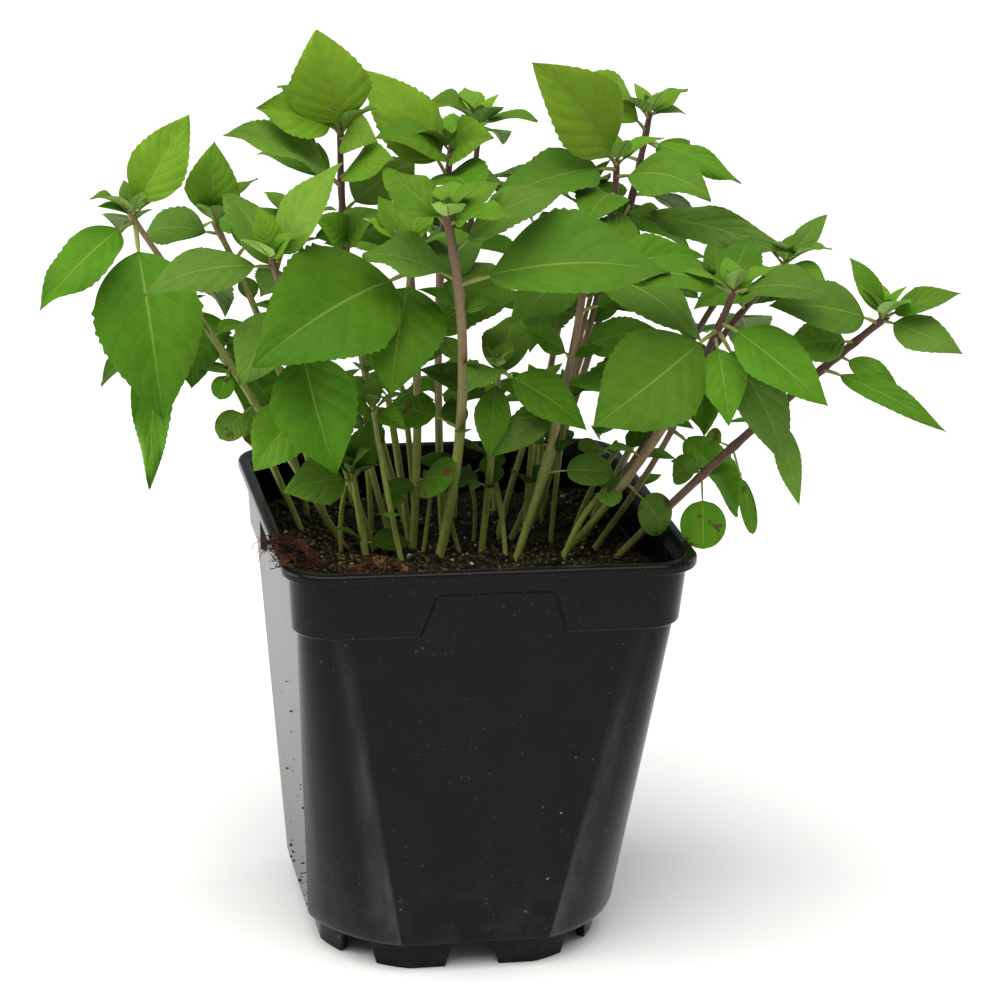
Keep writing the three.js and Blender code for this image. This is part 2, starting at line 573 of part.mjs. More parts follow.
// Places every leaf, the longest first, in the first turn that is clear of other shoots.
function growShoots(fixtures) {
  const shoots = SHOOTS.map((shoot) => ({
    name: shoot.name, curve: stemCurve(shoot), solids: [makeStem(shoot)],
    leaves: shoot.leaves ?? leavesByRule(shoot),
  }));
  const queue = shoots.flatMap((shoot) => shoot.leaves.map((leaf) => ({ shoot, leaf })));
  for (const item of queue) {
    const tip = new THREE.Vector3(...item.leaf.slice(1, 4));
    item.length = tip.distanceTo(item.shoot.curve.getPoint(item.leaf[0]));
  }
  queue.sort((a, b) => b.length - a.length);
  const turns = SIZES.flatMap((size) => SWINGS.flatMap((swing) => LIFTS.map(
    (lift) => [swing, lift, size])));
  for (const { shoot, leaf } of queue) {
    const others = shoots.filter((other) => other !== shoot).flatMap((other) => other.solids);
    const free = turns.find((turn) => !touches(
      makeLeaf(shoot.curve, leaf, turn, GAP), [...fixtures, ...others]));
    if (free) shoot.solids.push(makeLeaf(shoot.curve, leaf, free));
  }
  return shoots.map(({ name, solids }) => makeMesh(
    name, solids.reduce((whole, piece) => whole.add(piece)), LEAF));
}

const pot = makePot();
const tuft = makeTuft();
const soil = makeSoil([makeTuft(GAP), ...SHOOTS.map((shoot) => makeStem(shoot, GAP))]);

const group = new THREE.Group();
group.add(makeMesh('pot', pot, BLACK_PLASTIC));
group.add(makeMesh('soil', soil, PEAT));
group.add(makeMesh('fibre_tuft', tuft, FIBRE));
group.add(...growShoots([pot, soil, tuft]));

export default group;
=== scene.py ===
"""Potted basil: a moulded nursery pot, crumbly peat, loose fibres and fine leafy shoots."""

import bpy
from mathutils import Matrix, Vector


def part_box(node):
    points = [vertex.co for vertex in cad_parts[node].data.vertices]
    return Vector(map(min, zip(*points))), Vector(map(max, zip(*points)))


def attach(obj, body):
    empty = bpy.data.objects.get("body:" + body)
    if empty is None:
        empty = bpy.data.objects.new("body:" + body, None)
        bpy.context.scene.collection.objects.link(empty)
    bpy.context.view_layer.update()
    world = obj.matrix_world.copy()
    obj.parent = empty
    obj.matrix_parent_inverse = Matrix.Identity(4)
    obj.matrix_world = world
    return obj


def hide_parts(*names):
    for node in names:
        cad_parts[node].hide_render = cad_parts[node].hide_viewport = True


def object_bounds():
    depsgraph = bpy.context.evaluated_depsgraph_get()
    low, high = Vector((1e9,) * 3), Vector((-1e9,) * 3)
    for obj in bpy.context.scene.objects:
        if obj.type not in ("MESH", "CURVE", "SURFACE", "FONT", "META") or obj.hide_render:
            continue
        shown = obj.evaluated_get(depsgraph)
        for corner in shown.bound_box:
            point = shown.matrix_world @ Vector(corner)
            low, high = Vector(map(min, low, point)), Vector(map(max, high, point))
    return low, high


bl_info = {
    "name": "Potted basil",
    "version": (1, 0, 0),
    "blender": (4, 5, 0),
    "location": "View3D > Sidebar > Potted basil",
    "description": "Dresses a square pot of young basil with fine leaves, stems, soil and fibres",
    "category": "Object",
}

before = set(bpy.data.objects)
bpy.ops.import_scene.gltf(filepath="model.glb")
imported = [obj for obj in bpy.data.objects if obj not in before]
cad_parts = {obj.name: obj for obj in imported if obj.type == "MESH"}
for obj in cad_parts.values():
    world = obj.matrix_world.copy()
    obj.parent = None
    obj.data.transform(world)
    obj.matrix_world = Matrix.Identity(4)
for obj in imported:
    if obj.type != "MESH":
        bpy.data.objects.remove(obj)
cad_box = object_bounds()

import math
import random

import bmesh
import bpy
from mathutils import Matrix, Vector, kdtree, noise

MM = 0.001
UP = Vector((0, 0, 1))
ANY_TURN = 6.3
BATCH = 50

# Seeds of the random draws. SWING_SEED is noise_vector's, which goes by the clock without one.
SOIL_SEED = 4
TUFT_SEED = 9
SWING_SEED = 1795621630
SEEDLING_SEED = 61
SHOOT_SEED = 100

# Pot, in millimetres. A level of its wall is (half width, corner cut, corner arc in degrees).
POT_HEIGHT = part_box("pot")[1].z / MM
LIP_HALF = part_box("pot")[1].x / MM
LIP_CUT = 11.8
LIP_HEIGHT = 3
LIP_WIDTH = 3.4
COLLAR_HEIGHT = 19.6
COLLAR_HALF = (53.5, 54.8)
COLLAR_CUT = 11
COLLAR_PROUD = 1.5
BASE_HALF = 44
BASE_CUT = 23
BASE_ARC = 52
WALL = 1.2
FLOOR = 1.6
PANEL_TOP = 30.5
PANEL_BOTTOM = 39
PANEL_BELOW_LIP = 7
PANEL_EDGE = 1.1
FOOT_HEIGHT = 8.7
FOOT_INSET = 3.3
FOOT_WALL = 2.4
FOOT_SIDE_GAP = 11
FOOT_CORNER_GAP = 8
FOOT_SLOPE = 2.2
FOOT_DRAFT = 0.8
FOOT_EDGE = 0.35
DRAIN_RADIUS = 4
DRAIN_REACH = 24
DRAIN_SIDES = 32

# The steps of the pot's rounded edges: how far they lie in from its face, and how far up from
# the base or from the lip's lower edge, or down from the lip's top.
BASE_ROUNDING = ((1.6, 0), (1.0, 0.05), (0.4, 0.35), (0.1, 0.9))
LIP_UNDERSIDE = ((1.6, -0.2), (0.5, -0.1), (0.1, 0.3), (0, 0.8))
LIP_EDGE = ((0, 1.1), (0.12, 0.6), (0.45, 0.2))
LIP_ROLL = ((0.9, 0), (1.8, 0), (2.5, 0.1), (3.0, 0.4), (3.4, 1.2))

# Soil and the fibre tuft, in millimetres.
GAP = 0.3
SOIL_TOP = 111
ROOT_DEPTH = 14
HEAP = 7
WAIST = 58
SOIL_GRID = 170
STRAWS = 150
CLINGING_CRUMBS = 44
TUFT_START = (-47, -12)
TUFT_CORNER = (-50, -49)
TUFT_END = (-20, -44)
TUFT_RISE = 1.5
STRAND_UP = (-50, 132)
STRAND_OVER = (-61, 132)
STRAND_DOWN = (-60, 116)

# The heaps of fibre on the soil's front edge: middle in x, and height.
TAN_HEAP = (-30, 7.2)
DARK_HEAP = (-7, 3.6)

# Leaves. A blade is folded along its midrib and arched along its length.
STALK_SHARE = 0.16
FOLD = 0.22
ARCH = 0.1
FRONT = Vector((-0.2, -0.93, 0.3))
BLADE = 0.7
TIP_HALF = 0.4
SEED_PLACE = 0.6
SEED_STALK = 0.34
SEED_LENGTH = 26
LONG_LENGTH = 26
SHORT_LENGTH = 15
TALL_TOP = 175
LEFT_SHOOTS = -60
HAIRS = 60
SPRIG_REACH = (13, 9)

# The pairs of youngest leaves at a stem's top: length, and pitch in degrees.
BUD_PAIRS = ((16.0, 28), (11.0, 46), (7.0, 62), (4.0, 75))

# The turns a leaf may have taken to clear its neighbours, in degrees and shares of its size.
SIZES = (1, 0.87, 0.74, 0.62)
SWINGS = (0, 8, -8, 16, -16, 25, -25)
LIFTS = (0, 7, -7, 14, -14, 22, -22, 32, -32)

# The shoots: name, foot on the soil, bend that pulls the stem, top and girth, in millimetres.
# A leaf is (place along the stem, tip x, y, z, width as a share of length, turn of its face
# from the sky (0) to the front (1) or the back (-1)). A pair of numbers in place of the list
# of leaves is the seed and the heading of a shoot whose pairs follow the rule below.
SHOOTS = (
    ("shoot_front", (-8, -13), (3, -19, 159), (-15, -44, 219), 3.8, (
        (0.99, 0, -37, 226, 0.55, 0.3), (0.99, -22, -50, 226, 0.5, 0.2),
        (0.97, -1, -58, 222, 0.5, 0.4), (0.96, -29, -26, 227, 0.5, 0.5),
        (0.9, 16, -43, 225, 0.5, 0.3), (0.83, -34, -28, 205, 0.58, 0.4),
        (0.82, 43, -54, 206, 0.5, 0.5), (0.8, -8, -2, 204, 0.5, 0.3),
        (0.46, -18, -4, 156, 0.5, 0.6), (0.78, 3, -20, 199, 0.6, 0.6))),
    ("shoot_front_left", (-14, -5), (-12, -8, 160), (-20, -17, 202), 3.2, (
        (0.93, -64, -43, 180, 0.62, 0.8), (0.93, -28, -42, 170, 0.66, 0.9),
        (0.99, -14, -6, 216, 0.5, 0.2), (0.99, -26, -4, 214, 0.5, 0.2),
        (0.7, 12, -14, 190, 0.5, 0.4), (0.3, 1, -22, 132, 0.6, 0.7))),
    ("shoot_left_front", (-24, -2), (-42, -6, 160), (-58, -26, 203), 2.8, (
        (0.99, -61, -22, 216, 0.55, 0.4), (0.99, -53, -31, 211, 0.6, 0.5),
        (0.97, -92, -31, 196, 0.42, 0.5), (0.95, -30, -22, 220, 0.45, 0.3),
        (0.92, -68, -2, 216, 0.42, 0.3), (0.86, -66, -24, 168, 0.6, 0.7),
        (0.74, -41, -36, 146, 0.6, 0.95), (0.55, -60, -10, 139, 0.6, 0.7))),
    ("shoot_left", (-32, 4), (-68, 8, 172), (-92, 9, 207), 2.8, (
        (0.99, -76, 10, 234, 0.5, 0.9), (0.99, -101, 5, 210, 0.5, 0.3),
        (0.97, -118, -14, 187, 0.4, 0.45), (0.97, -85, -12, 155, 0.54, 0.9),
        (0.96, -92, 36, 196, 0.5, 0.2), (0.84, -86, 14, 126, 0.17, 0.8),
        (0.8, -60, 36, 180, 0.5, 0.2), (0.42, -68, 1, 145, 0.6, 0.7),
        (0.52, -68, 2, 156, 0.6, 0.6))),
    ("shoot_left_back", (-34, 20), (-48, 22, 165), (-67, 27, 200), 2.8, (
        (0.99, -68, 19, 224, 0.58, 0.7), (0.99, -56, 20, 214, 0.4, 0.3),
        (0.97, -62, 38, 213, 0.5, -0.3), (0.95, -86, 42, 193, 0.5, 0.6),
        (0.85, -40, 54, 188, 0.55, 0.2), (0.82, -72, 52, 168, 0.5, 0.3),
        (0.45, -58, 8, 140, 0.6, 0.7))),
    ("shoot_top_left", (-12, 12), (-34, 14, 170), (-33, 20, 228), 3, (
        (0.98, -41, 14, 256, 0.72, 0.9), (0.99, -57, 14, 235, 0.6, 0.7),
        (0.98, -48, 38, 237, 0.5, 0.3), (0.86, -66, 10, 229, 0.5, 0.4),
        (0.86, -54, 36, 218, 0.5, 0.3), (0.88, -22, -2, 224, 0.55, 0.6),
        (0.8, -10, 32, 216, 0.6, 0.6), (0.72, -42, 6, 206, 0.6, 0.7),
        (0.72, -24, 6, 208, 0.6, 0.6), (0.97, -26, 4, 228, 0.7, 0.8))),
    ("shoot_top_middle", (-4, 2), (-8, 14, 165), (-1, 24, 222), 2.8, (
        (0.92, -26, 26, 243, 0.5, 0.6), (0.96, -25, 8, 228, 0.6, 0.5),
        (0.97, 7, 6, 228, 0.72, 0.7), (0.92, 2, -8, 214, 0.55, 0.6),
        (0.9, 20, 40, 205, 0.5, 0.3), (0.82, -14, 48, 198, 0.55, 0.3))),
    ("shoot_back_middle", (4, 28), (6, 36, 170), (11, 45, 224), 2.8, (
        (0.99, -6, 37, 231, 0.5, 0.3), (0.99, 26, 36, 226, 0.5, 0.2),
        (0.97, 22, 62, 214, 0.45, 0.2), (0.95, -4, 66, 214, 0.5, 0.5),
        (0.85, 34, 50, 196, 0.5, 0.2), (0.82, -10, 56, 184, 0.5, 0.2))),
    ("shoot_top_right", (16, 4), (44, 10, 170), (45, 17, 219), 2.8, (
        (0.98, 18, 9, 248, 0.54, 0.8), (0.97, 7, 3, 211, 0.5, 0.4),
        (0.95, 66, -6, 214, 0.58, 0.5), (0.9, 30, -10, 204, 0.5, 0.4),
        (0.85, 54, 48, 200, 0.5, 0.2), (0.8, 18, 24, 190, 0.5, 0.2),
        (0.35, 36, -4, 127, 0.6, 0.8))),
    ("shoot_far_top", (26, 20), (48, 26, 172), (58, 33, 229), 2.8, (
        (0.95, 33, 30, 240, 0.52, 0.5), (0.99, 70, 38, 227, 0.5, 0.3),
        (0.93, 80, 12, 213, 0.26, 0.7), (0.93, 76, 40, 205, 0.55, 0.7),
        (0.76, 92, -6, 197, 0.22, 0.8), (0.88, 34, 58, 208, 0.5, 0.2),
        (0.8, 76, 52, 190, 0.5, 0.2), (0.78, 38, 12, 186, 0.5, 0.4))),
    ("shoot_right_back", (38, 6), (68, 2, 168), (91, -1, 193), 2.8, (
        (0.99, 103, 3, 206, 0.36, 0.6), (0.99, 99, -13, 190, 0.5, 0.5),
        (0.9, 96, 26, 178, 0.5, 0.3), (0.86, 62, -12, 184, 0.5, 0.5),
        (0.75, 86, 24, 160, 0.5, 0.3))),
    ("shoot_right_front", (26, -14), (52, -34, 149), (62, -50, 199), 3, (
        (0.99, 84, -66, 201, 0.5, 0.4), (0.99, 27, -50, 204, 0.4, 0.4),
        (0.9, 83, -72, 173, 0.44, 0.6), (0.94, 74, -24, 206, 0.42, 0.3),
        (0.88, 24, -56, 164, 0.64, 0.9), (0.86, 60, -60, 165, 0.5, 0.7),
        (0.88, 77, -56, 152, 0.34, 0.8), (0.4, 53, -27, 124, 0.6, 0.6))),
    ("shoot_far_right", (42, -14), (64, -42, 153), (105, -50, 191), 3.4, (
        (0.99, 95, -45, 206, 0.36, 0.6), (0.99, 121, -61, 200, 0.36, 0.6),
        (0.98, 121, -66, 185, 0.5, 0.6), (0.8, 116, -72, 166, 0.2, 0.7),
        (0.97, 71, -54, 196, 0.5, 0.6), (0.85, 108, -58, 171, 0.36, 0.7),
        (0.9, 76, -52, 183, 0.6, 0.7), (0.66, 84, -50, 138, 0.26, 0.8),
        (0.66, 72, -28, 164, 0.6, 0.7), (0.52, 63, -26, 150, 0.6, 0.8),
        (0.46, 55, -24, 139, 0.6, 0.7), (0.42, 61, -38, 122, 0.6, 0.9),
        (0.52, 75, -38, 126, 0.17, 0.8))),
    ("shoot_middle", (13, -16), (24, -22, 150), (29, -20, 199), 3.2, (
        (0.98, 55, -46, 184, 0.45, 0.4), (0.98, 6, -30, 186, 0.6, 0.5),
        (0.96, 44, 0, 210, 0.5, 0.6), (0.94, 22, 6, 208, 0.5, 0.3),
        (0.86, 56, -24, 190, 0.5, 0.4), (0.62, 2, -30, 148, 0.36, 0.8),
        (0.4, 38, -24, 140, 0.5, 0.6), (0.95, 62, -18, 200, 0.42, 0.5))),
    ("shoot_low_middle", (5, -8), (6, -14, 140), (5, -22, 171), 2.8, (
        (0.98, 28, -33, 156, 0.44, 0.7), (0.98, -14, -34, 170, 0.5, 0.4),
        (0.96, 1, -32, 149, 0.44, 0.9), (0.9, 14, 2, 178, 0.5, 0.3),
        (0.8, -14, -6, 166, 0.5, 0.3))),
    ("shoot_back_left", (-24, 36), (-34, 40, 160), (-42, 42, 195), 2.8, (11, 60)),
    ("shoot_back_right", (28, 38), (34, 42, 160), (44, 43, 205), 2.8, (23, 70)),
    ("shoot_back", (2, 38), (0, 42, 155), (0, 42, 190), 2.8, (37, 45)),
    ("shoot_side_left", (-42, 20), (-60, 30, 154), (-73, 34, 178), 2.8, (41, 10)),
    ("shoot_side_right", (44, 22), (66, 30, 150), (82, 32, 176), 2.8, (53, 80)),
    ("shoot_low_left", (-28, -12), (-30, -10, 124), (-32, -9, 136), 2.8, (
        (0.97, -52, -16, 135, 0.66, 0.8), (0.97, -17, -15, 147, 0.5, 0.6),
        (0.99, -38, 6, 146, 0.5, 0.3), (0.99, -30, -20, 148, 0.4, 0.5))),
    ("shoot_thin_left", (-19, -20), (-25, -18, 136), (-28, -15, 158), 2.2, (
        (0.97, -37, -21, 160, 0.6, 0.6), (0.97, -21, -27, 155, 0.5, 0.6),
        (0.99, -27, -6, 164, 0.5, 0.4))),
    ("shoot_thin_middle", (18, -3), (19, -4, 136), (22, 6, 157), 2.2, (
        (0.7, 17, -11, 147, 0.6, 0.6), (0.97, 31, 0, 160, 0.5, 0.5),
        (0.97, 13, 4, 160, 0.5, 0.4))),
    ("shoot_thin_right", (27, 2), (27, 3, 142), (38, 11, 182), 2.2, (
        (0.8, 54, -3, 175, 0.5, 0.6), (0.98, 26, -2, 184, 0.5, 0.4),
        (0.98, 48, 18, 190, 0.5, 0.4))),
    ("shoot_low_right", (38, -6), (56, -10, 138), (62, -12, 160), 2.8, (71, 120)),
)

# The rule for pairs of leaves: (place along the stem, length, pitch in degrees), and the
# degrees over which their turn and their lean are drawn.
PAIRS = ((0.75, 34, -20), (0.93, 36, 5), (0.99, 17, 45))
RULE_TURN = 30
RULE_LEAN = 24

# Thin seedlings between the shoots: foot on the soil, top and girth, and the length of their
# leaves, all in millimetres.
SEEDLINGS = (
    ((-18, -5), (-28, 0, 147), 1.7, 15), ((-12, -8), (-10, -8, 133), 1.2, 10),
    ((-13, 2), (-20, 8, 154), 1.9, 15), ((4, 0), (2, 1, 132), 1.2, 9),
    ((0, -6), (-6, -5, 134), 1.2, 10), ((11, 2), (22, 10, 144), 1.8, 14),
    ((11, -14), (7, -4, 139), 1.4, 11), ((29, 30), (29, 30, 146), 1.7, 14),
    ((29, 24), (34, 26, 138), 1.4, 12), ((-34, -5), (-31, -4, 137), 1.4, 11),
    ((33, 5), (46, 6, 136), 1.4, 10), ((25, -20), (37, -20, 134), 1.7, 11),
    ((-8, 24), (-12, 30, 150), 1.7, 15), ((18, 36), (20, 44, 142), 1.5, 13),
    ((-38, 30), (-46, 38, 138), 1.5, 12), ((-22, 18), (-26, 22, 144), 1.6, 13),
)


# Lights: the sun's strength, spread in degrees and place in the sky, and the room's strength.
SUN_STRENGTH = 3.4
SUN_SPREAD = 60
SUN_PLACE = Vector((-0.16, -0.34, 0.93))
ROOM_STRENGTH = 0.34
FLOOR_HALF = 6

# Light panels: name, place and size in metres, and power in watts.
PANELS = (("left_panel", (-1.3, 0.2, 0.40), 0.9, 12.6), ("right_panel", (1.2, 0.5, 0.5), 0.7, 5.0))

# Colours, as linear red, green and blue. A pair is the darker and the brighter tone.
# The first grey is painted light: it lightens the pot into a highlight beside its creases, and
# faintly in blotches near its base.
HIGHLIGHT_AND_BLOTCH_GREY = (0.34, 0.34, 0.33)
PALE_DUST = (0.40, 0.37, 0.30)
LINT = (0.42, 0.40, 0.36)
BROWN_SPECKS = (0.11, 0.06, 0.03)
DRY_PEAT = (0.034, 0.021, 0.009)
PEAT_DUST = (0.30, 0.26, 0.15)
MOSS = (0.165, 0.14, 0.036)
PERLITE = ((0.165, 0.155, 0.036), (0.55, 0.52, 0.40))
STRAW = ((0.05, 0.03, 0.013), (0.17, 0.12, 0.06))
COIR = ((0.012, 0.005, 0.003), (0.085, 0.032, 0.015))
TAN_FIBRE = ((0.045, 0.018, 0.008), (0.21, 0.115, 0.042))
YELLOW_GREEN = (0.10, 0.20, 0.009)
DULL_GREEN = (0.10, 0.165, 0.035)
# SUNLIT_GREEN is painted light: the glow of high leaves lit through from behind.
SUNLIT_GREEN = (0.17, 0.30, 0.02)
MIDRIB = (0.17, 0.27, 0.045)
SIDE_VEINS = (0.16, 0.27, 0.04)
UNDERSIDE = (0.16, 0.235, 0.075)
RUST = (0.085, 0.035, 0.015)
STEM_GREEN = ((0.155, 0.205, 0.03), (0.30, 0.34, 0.08))
STEM_PINK = ((0.18, 0.12, 0.06), (0.31, 0.22, 0.13))
KEY_LIGHT = (1.0, 0.97, 0.92)
PANEL_LIGHT = (1.0, 0.98, 0.92)
ROOM_LIGHT = (0.93, 0.96, 1.0)


class PotSettings(bpy.types.PropertyGroup):
    """What a user would change on the pot."""

    plastic: bpy.props.FloatVectorProperty(
        name="Plastic", description="Colour of the moulded plastic",
        subtype="COLOR", size=3, min=0, max=1, default=(0.0034, 0.0034, 0.0036))
    roughness: bpy.props.FloatProperty(
        name="Roughness", description="How dull the clean plastic is",
        subtype="FACTOR", min=0, max=1, default=0.24)
    corner_steps: bpy.props.IntProperty(
        name="Corner steps", description="Faces round each corner of the pot",
        min=4, max=32, default=20)


class SoilSettings(bpy.types.PropertyGroup):
    """What a user would change on the soil and what lies on it."""

    peat: bpy.props.FloatVectorProperty(
        name="Peat", description="Colour of the moist peat",
        subtype="COLOR", size=3, min=0, max=1, default=(0.009, 0.0068, 0.0035))
    crumbs: bpy.props.IntProperty(
        name="Crumbs", description="How many loose crumbs of peat lie on the soil",
        min=0, max=6000, default=2600)
    grains: bpy.props.IntProperty(
        name="Perlite grains", description="How many pale grains lie on the soil",
        min=0, max=2000, default=950)
    fibres: bpy.props.IntProperty(
        name="Fibres", description="How many fibres and lumps the tuft at the rim has",
        min=20, max=2000, default=1000)


class LeafSettings(bpy.types.PropertyGroup):
    """What a user would change on the leaves and stems."""

    green: bpy.props.FloatVectorProperty(
        name="Leaf green", description="Colour of a grown leaf's upper face",
        subtype="COLOR", size=3, min=0, max=1, default=(0.057, 0.163, 0.008))
    young: bpy.props.FloatVectorProperty(
        name="Young green", description="Colour of the youngest leaves",
        subtype="COLOR", size=3, min=0, max=1, default=(0.115, 0.26, 0.018))
    blush: bpy.props.FloatVectorProperty(
        name="Stem blush", description="Purple brown of the upper stems",
        subtype="COLOR", size=3, min=0, max=1, default=(0.085, 0.040, 0.030))
    thickness: bpy.props.FloatProperty(
        name="Blade thickness", description="Thickness of a leaf's blade",
        subtype="DISTANCE", unit="LENGTH", min=0.0001, max=0.001, default=0.0003)
    columns: bpy.props.IntProperty(
        name="Columns", description="Faces across a grown leaf", min=4, max=24, default=12)
    rows: bpy.props.IntProperty(
        name="Rows", description="Faces along a grown leaf", min=8, max=64, default=44)


class StageSettings(bpy.types.PropertyGroup):
    """What a user would change on the floor, lights and camera."""

    floor: bpy.props.FloatVectorProperty(
        name="Floor", description="Colour of the plain floor",
        subtype="COLOR", size=3, min=0, max=1, default=(0.87, 0.875, 0.89))
    azimuth: bpy.props.FloatProperty(
        name="Azimuth", description="Camera's turn about the pot", unit="ROTATION",
        default=math.radians(-12.1))
    elevation: bpy.props.FloatProperty(
        name="Elevation", description="Camera's height angle over the pot", unit="ROTATION",
        default=math.radians(18.6))
    roll: bpy.props.FloatProperty(
        name="Roll", description="Camera's turn about its own view", unit="ROTATION",
        default=0.038)
    distance: bpy.props.FloatProperty(
        name="Distance", description="From the camera to the middle of the plant",
        subtype="DISTANCE", unit="LENGTH", default=0.9317)
    aim: bpy.props.FloatVectorProperty(
        name="Aim", description="The point that the camera looks at", subtype="XYZ",
        unit="LENGTH", size=3, default=(0.01105, -0.00237, 0.1258))
    lens: bpy.props.FloatProperty(
        name="Lens", description="Focal length on a 36 mm sensor", unit="CAMERA",
        default=119.1)


SETTINGS = {"basil_pot": PotSettings, "basil_soil": SoilSettings, "basil_leaf": LeafSettings,
            "basil_stage": StageSettings}


# Shapes

def sheet(bm, columns, rows, place):
    """A grid of faces. Its point (across, along), 0 to 1 each, goes to place(across, along)."""
    made = bmesh.ops.create_grid(
        bm, x_segments=columns, y_segments=rows, size=0.5, calc_uvs=True)
    for vert in made["verts"]:
        vert.co = place(vert.co.x + 0.5, vert.co.y + 0.5)
    return made["verts"]


def faces_of(verts):
    """The faces that use any of the vertices."""
    return list(dict.fromkeys(
        face for vert in verts if vert.is_valid for face in vert.link_faces))


def verts_in(geometry):
    return [item for item in geometry if isinstance(item, bmesh.types.BMVert)]


def close_tube(bm, verts):
    """Welds a sheet that was wrapped round, fills its ends and turns its faces outwards."""
    bmesh.ops.remove_doubles(bm, verts=verts, dist=1e-7)
    rim = dict.fromkeys(edge for vert in verts if vert.is_valid
                        for edge in vert.link_edges if edge.is_boundary)
    bmesh.ops.holes_fill(bm, edges=list(rim), sides=0)
    faces = faces_of(verts)
    bmesh.ops.recalc_face_normals(bm, faces=faces)
    return faces


def any_turn(draw):
    """An angle that points any way, in radians."""
    return ANY_TURN * draw.random()


def direction(turn, lean):
    """The unit vector of a turn about the vertical and a lean up from the ground, in radians."""
    return Vector((math.cos(lean) * math.cos(turn), math.cos(lean) * math.sin(turn),
                   math.sin(lean)))


def bezier(points, share):
    """The point at a share of the way along a Bezier curve."""
    points = [Vector(point) for point in points]
    while len(points) > 1:
        points = [a.lerp(b, share) for a, b in zip(points, points[1:])]
    return points[0]


def tube(bm, line, radius, sides, steps):
    """A closed round bar along line(share), whose radius at each angle is radius(share, angle)."""
    points = [line(i / steps) for i in range(steps + 1)]
    across = None
    rings = []
    for i, point in enumerate(points):
        ahead = points[min(i + 1, steps)] - points[max(i - 1, 0)]
        ahead.normalize()
        if across is None:
            across = ahead.orthogonal()
        across = (across - ahead * across.dot(ahead)).normalized()
        rings.append((point, across, ahead.cross(across)))

    def place(round_share, along):
        point, side, other = rings[round(along * steps)]
        angle = 2 * math.pi * round_share
        reach = radius(along, angle)
        return point + reach * (math.cos(angle) * side + math.sin(angle) * other)

    return close_tube(bm, sheet(bm, sides, steps, place))


def gather(whole, part):
    """Adds a part's shapes to the whole. Many small shapes are made quicker in small parts."""
    mesh = bpy.data.meshes.new("part")
    part.to_mesh(mesh)
    part.free()
    whole.from_mesh(mesh)
    bpy.data.meshes.remove(mesh)


def heap(count, make):
    """A bmesh of many small shapes, each of which make(bm) adds."""
    whole = bmesh.new()
    for start in range(0, count, BATCH):
        part = bmesh.new()
        for _ in range(min(BATCH, count - start)):
            make(part)
        gather(whole, part)
    return whole


def add_object(bm, name, materials=()):
    """The bmesh, which is used up, as an object in the scene."""
    mesh = bpy.data.meshes.new(name)
    bm.to_mesh(mesh)
    bm.free()
    for material in materials:
        mesh.materials.append(material)
    made = bpy.data.objects.new(name, mesh)
    bpy.context.scene.collection.objects.link(made)
    return made


def finish_piece(bm, name, materials, smooth_angle):
    """The bmesh as an object that rides with the pot, smooth except across sharp edges."""
    limit = math.radians(smooth_angle)
    for face in bm.faces:
        face.smooth = True
    for edge in bm.edges:
        if edge.is_manifold:
            edge.smooth = edge.calc_face_angle(0) < limit
    piece = add_object(bm, name, materials)
    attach(piece, "root")
    return piece


# Shader helpers

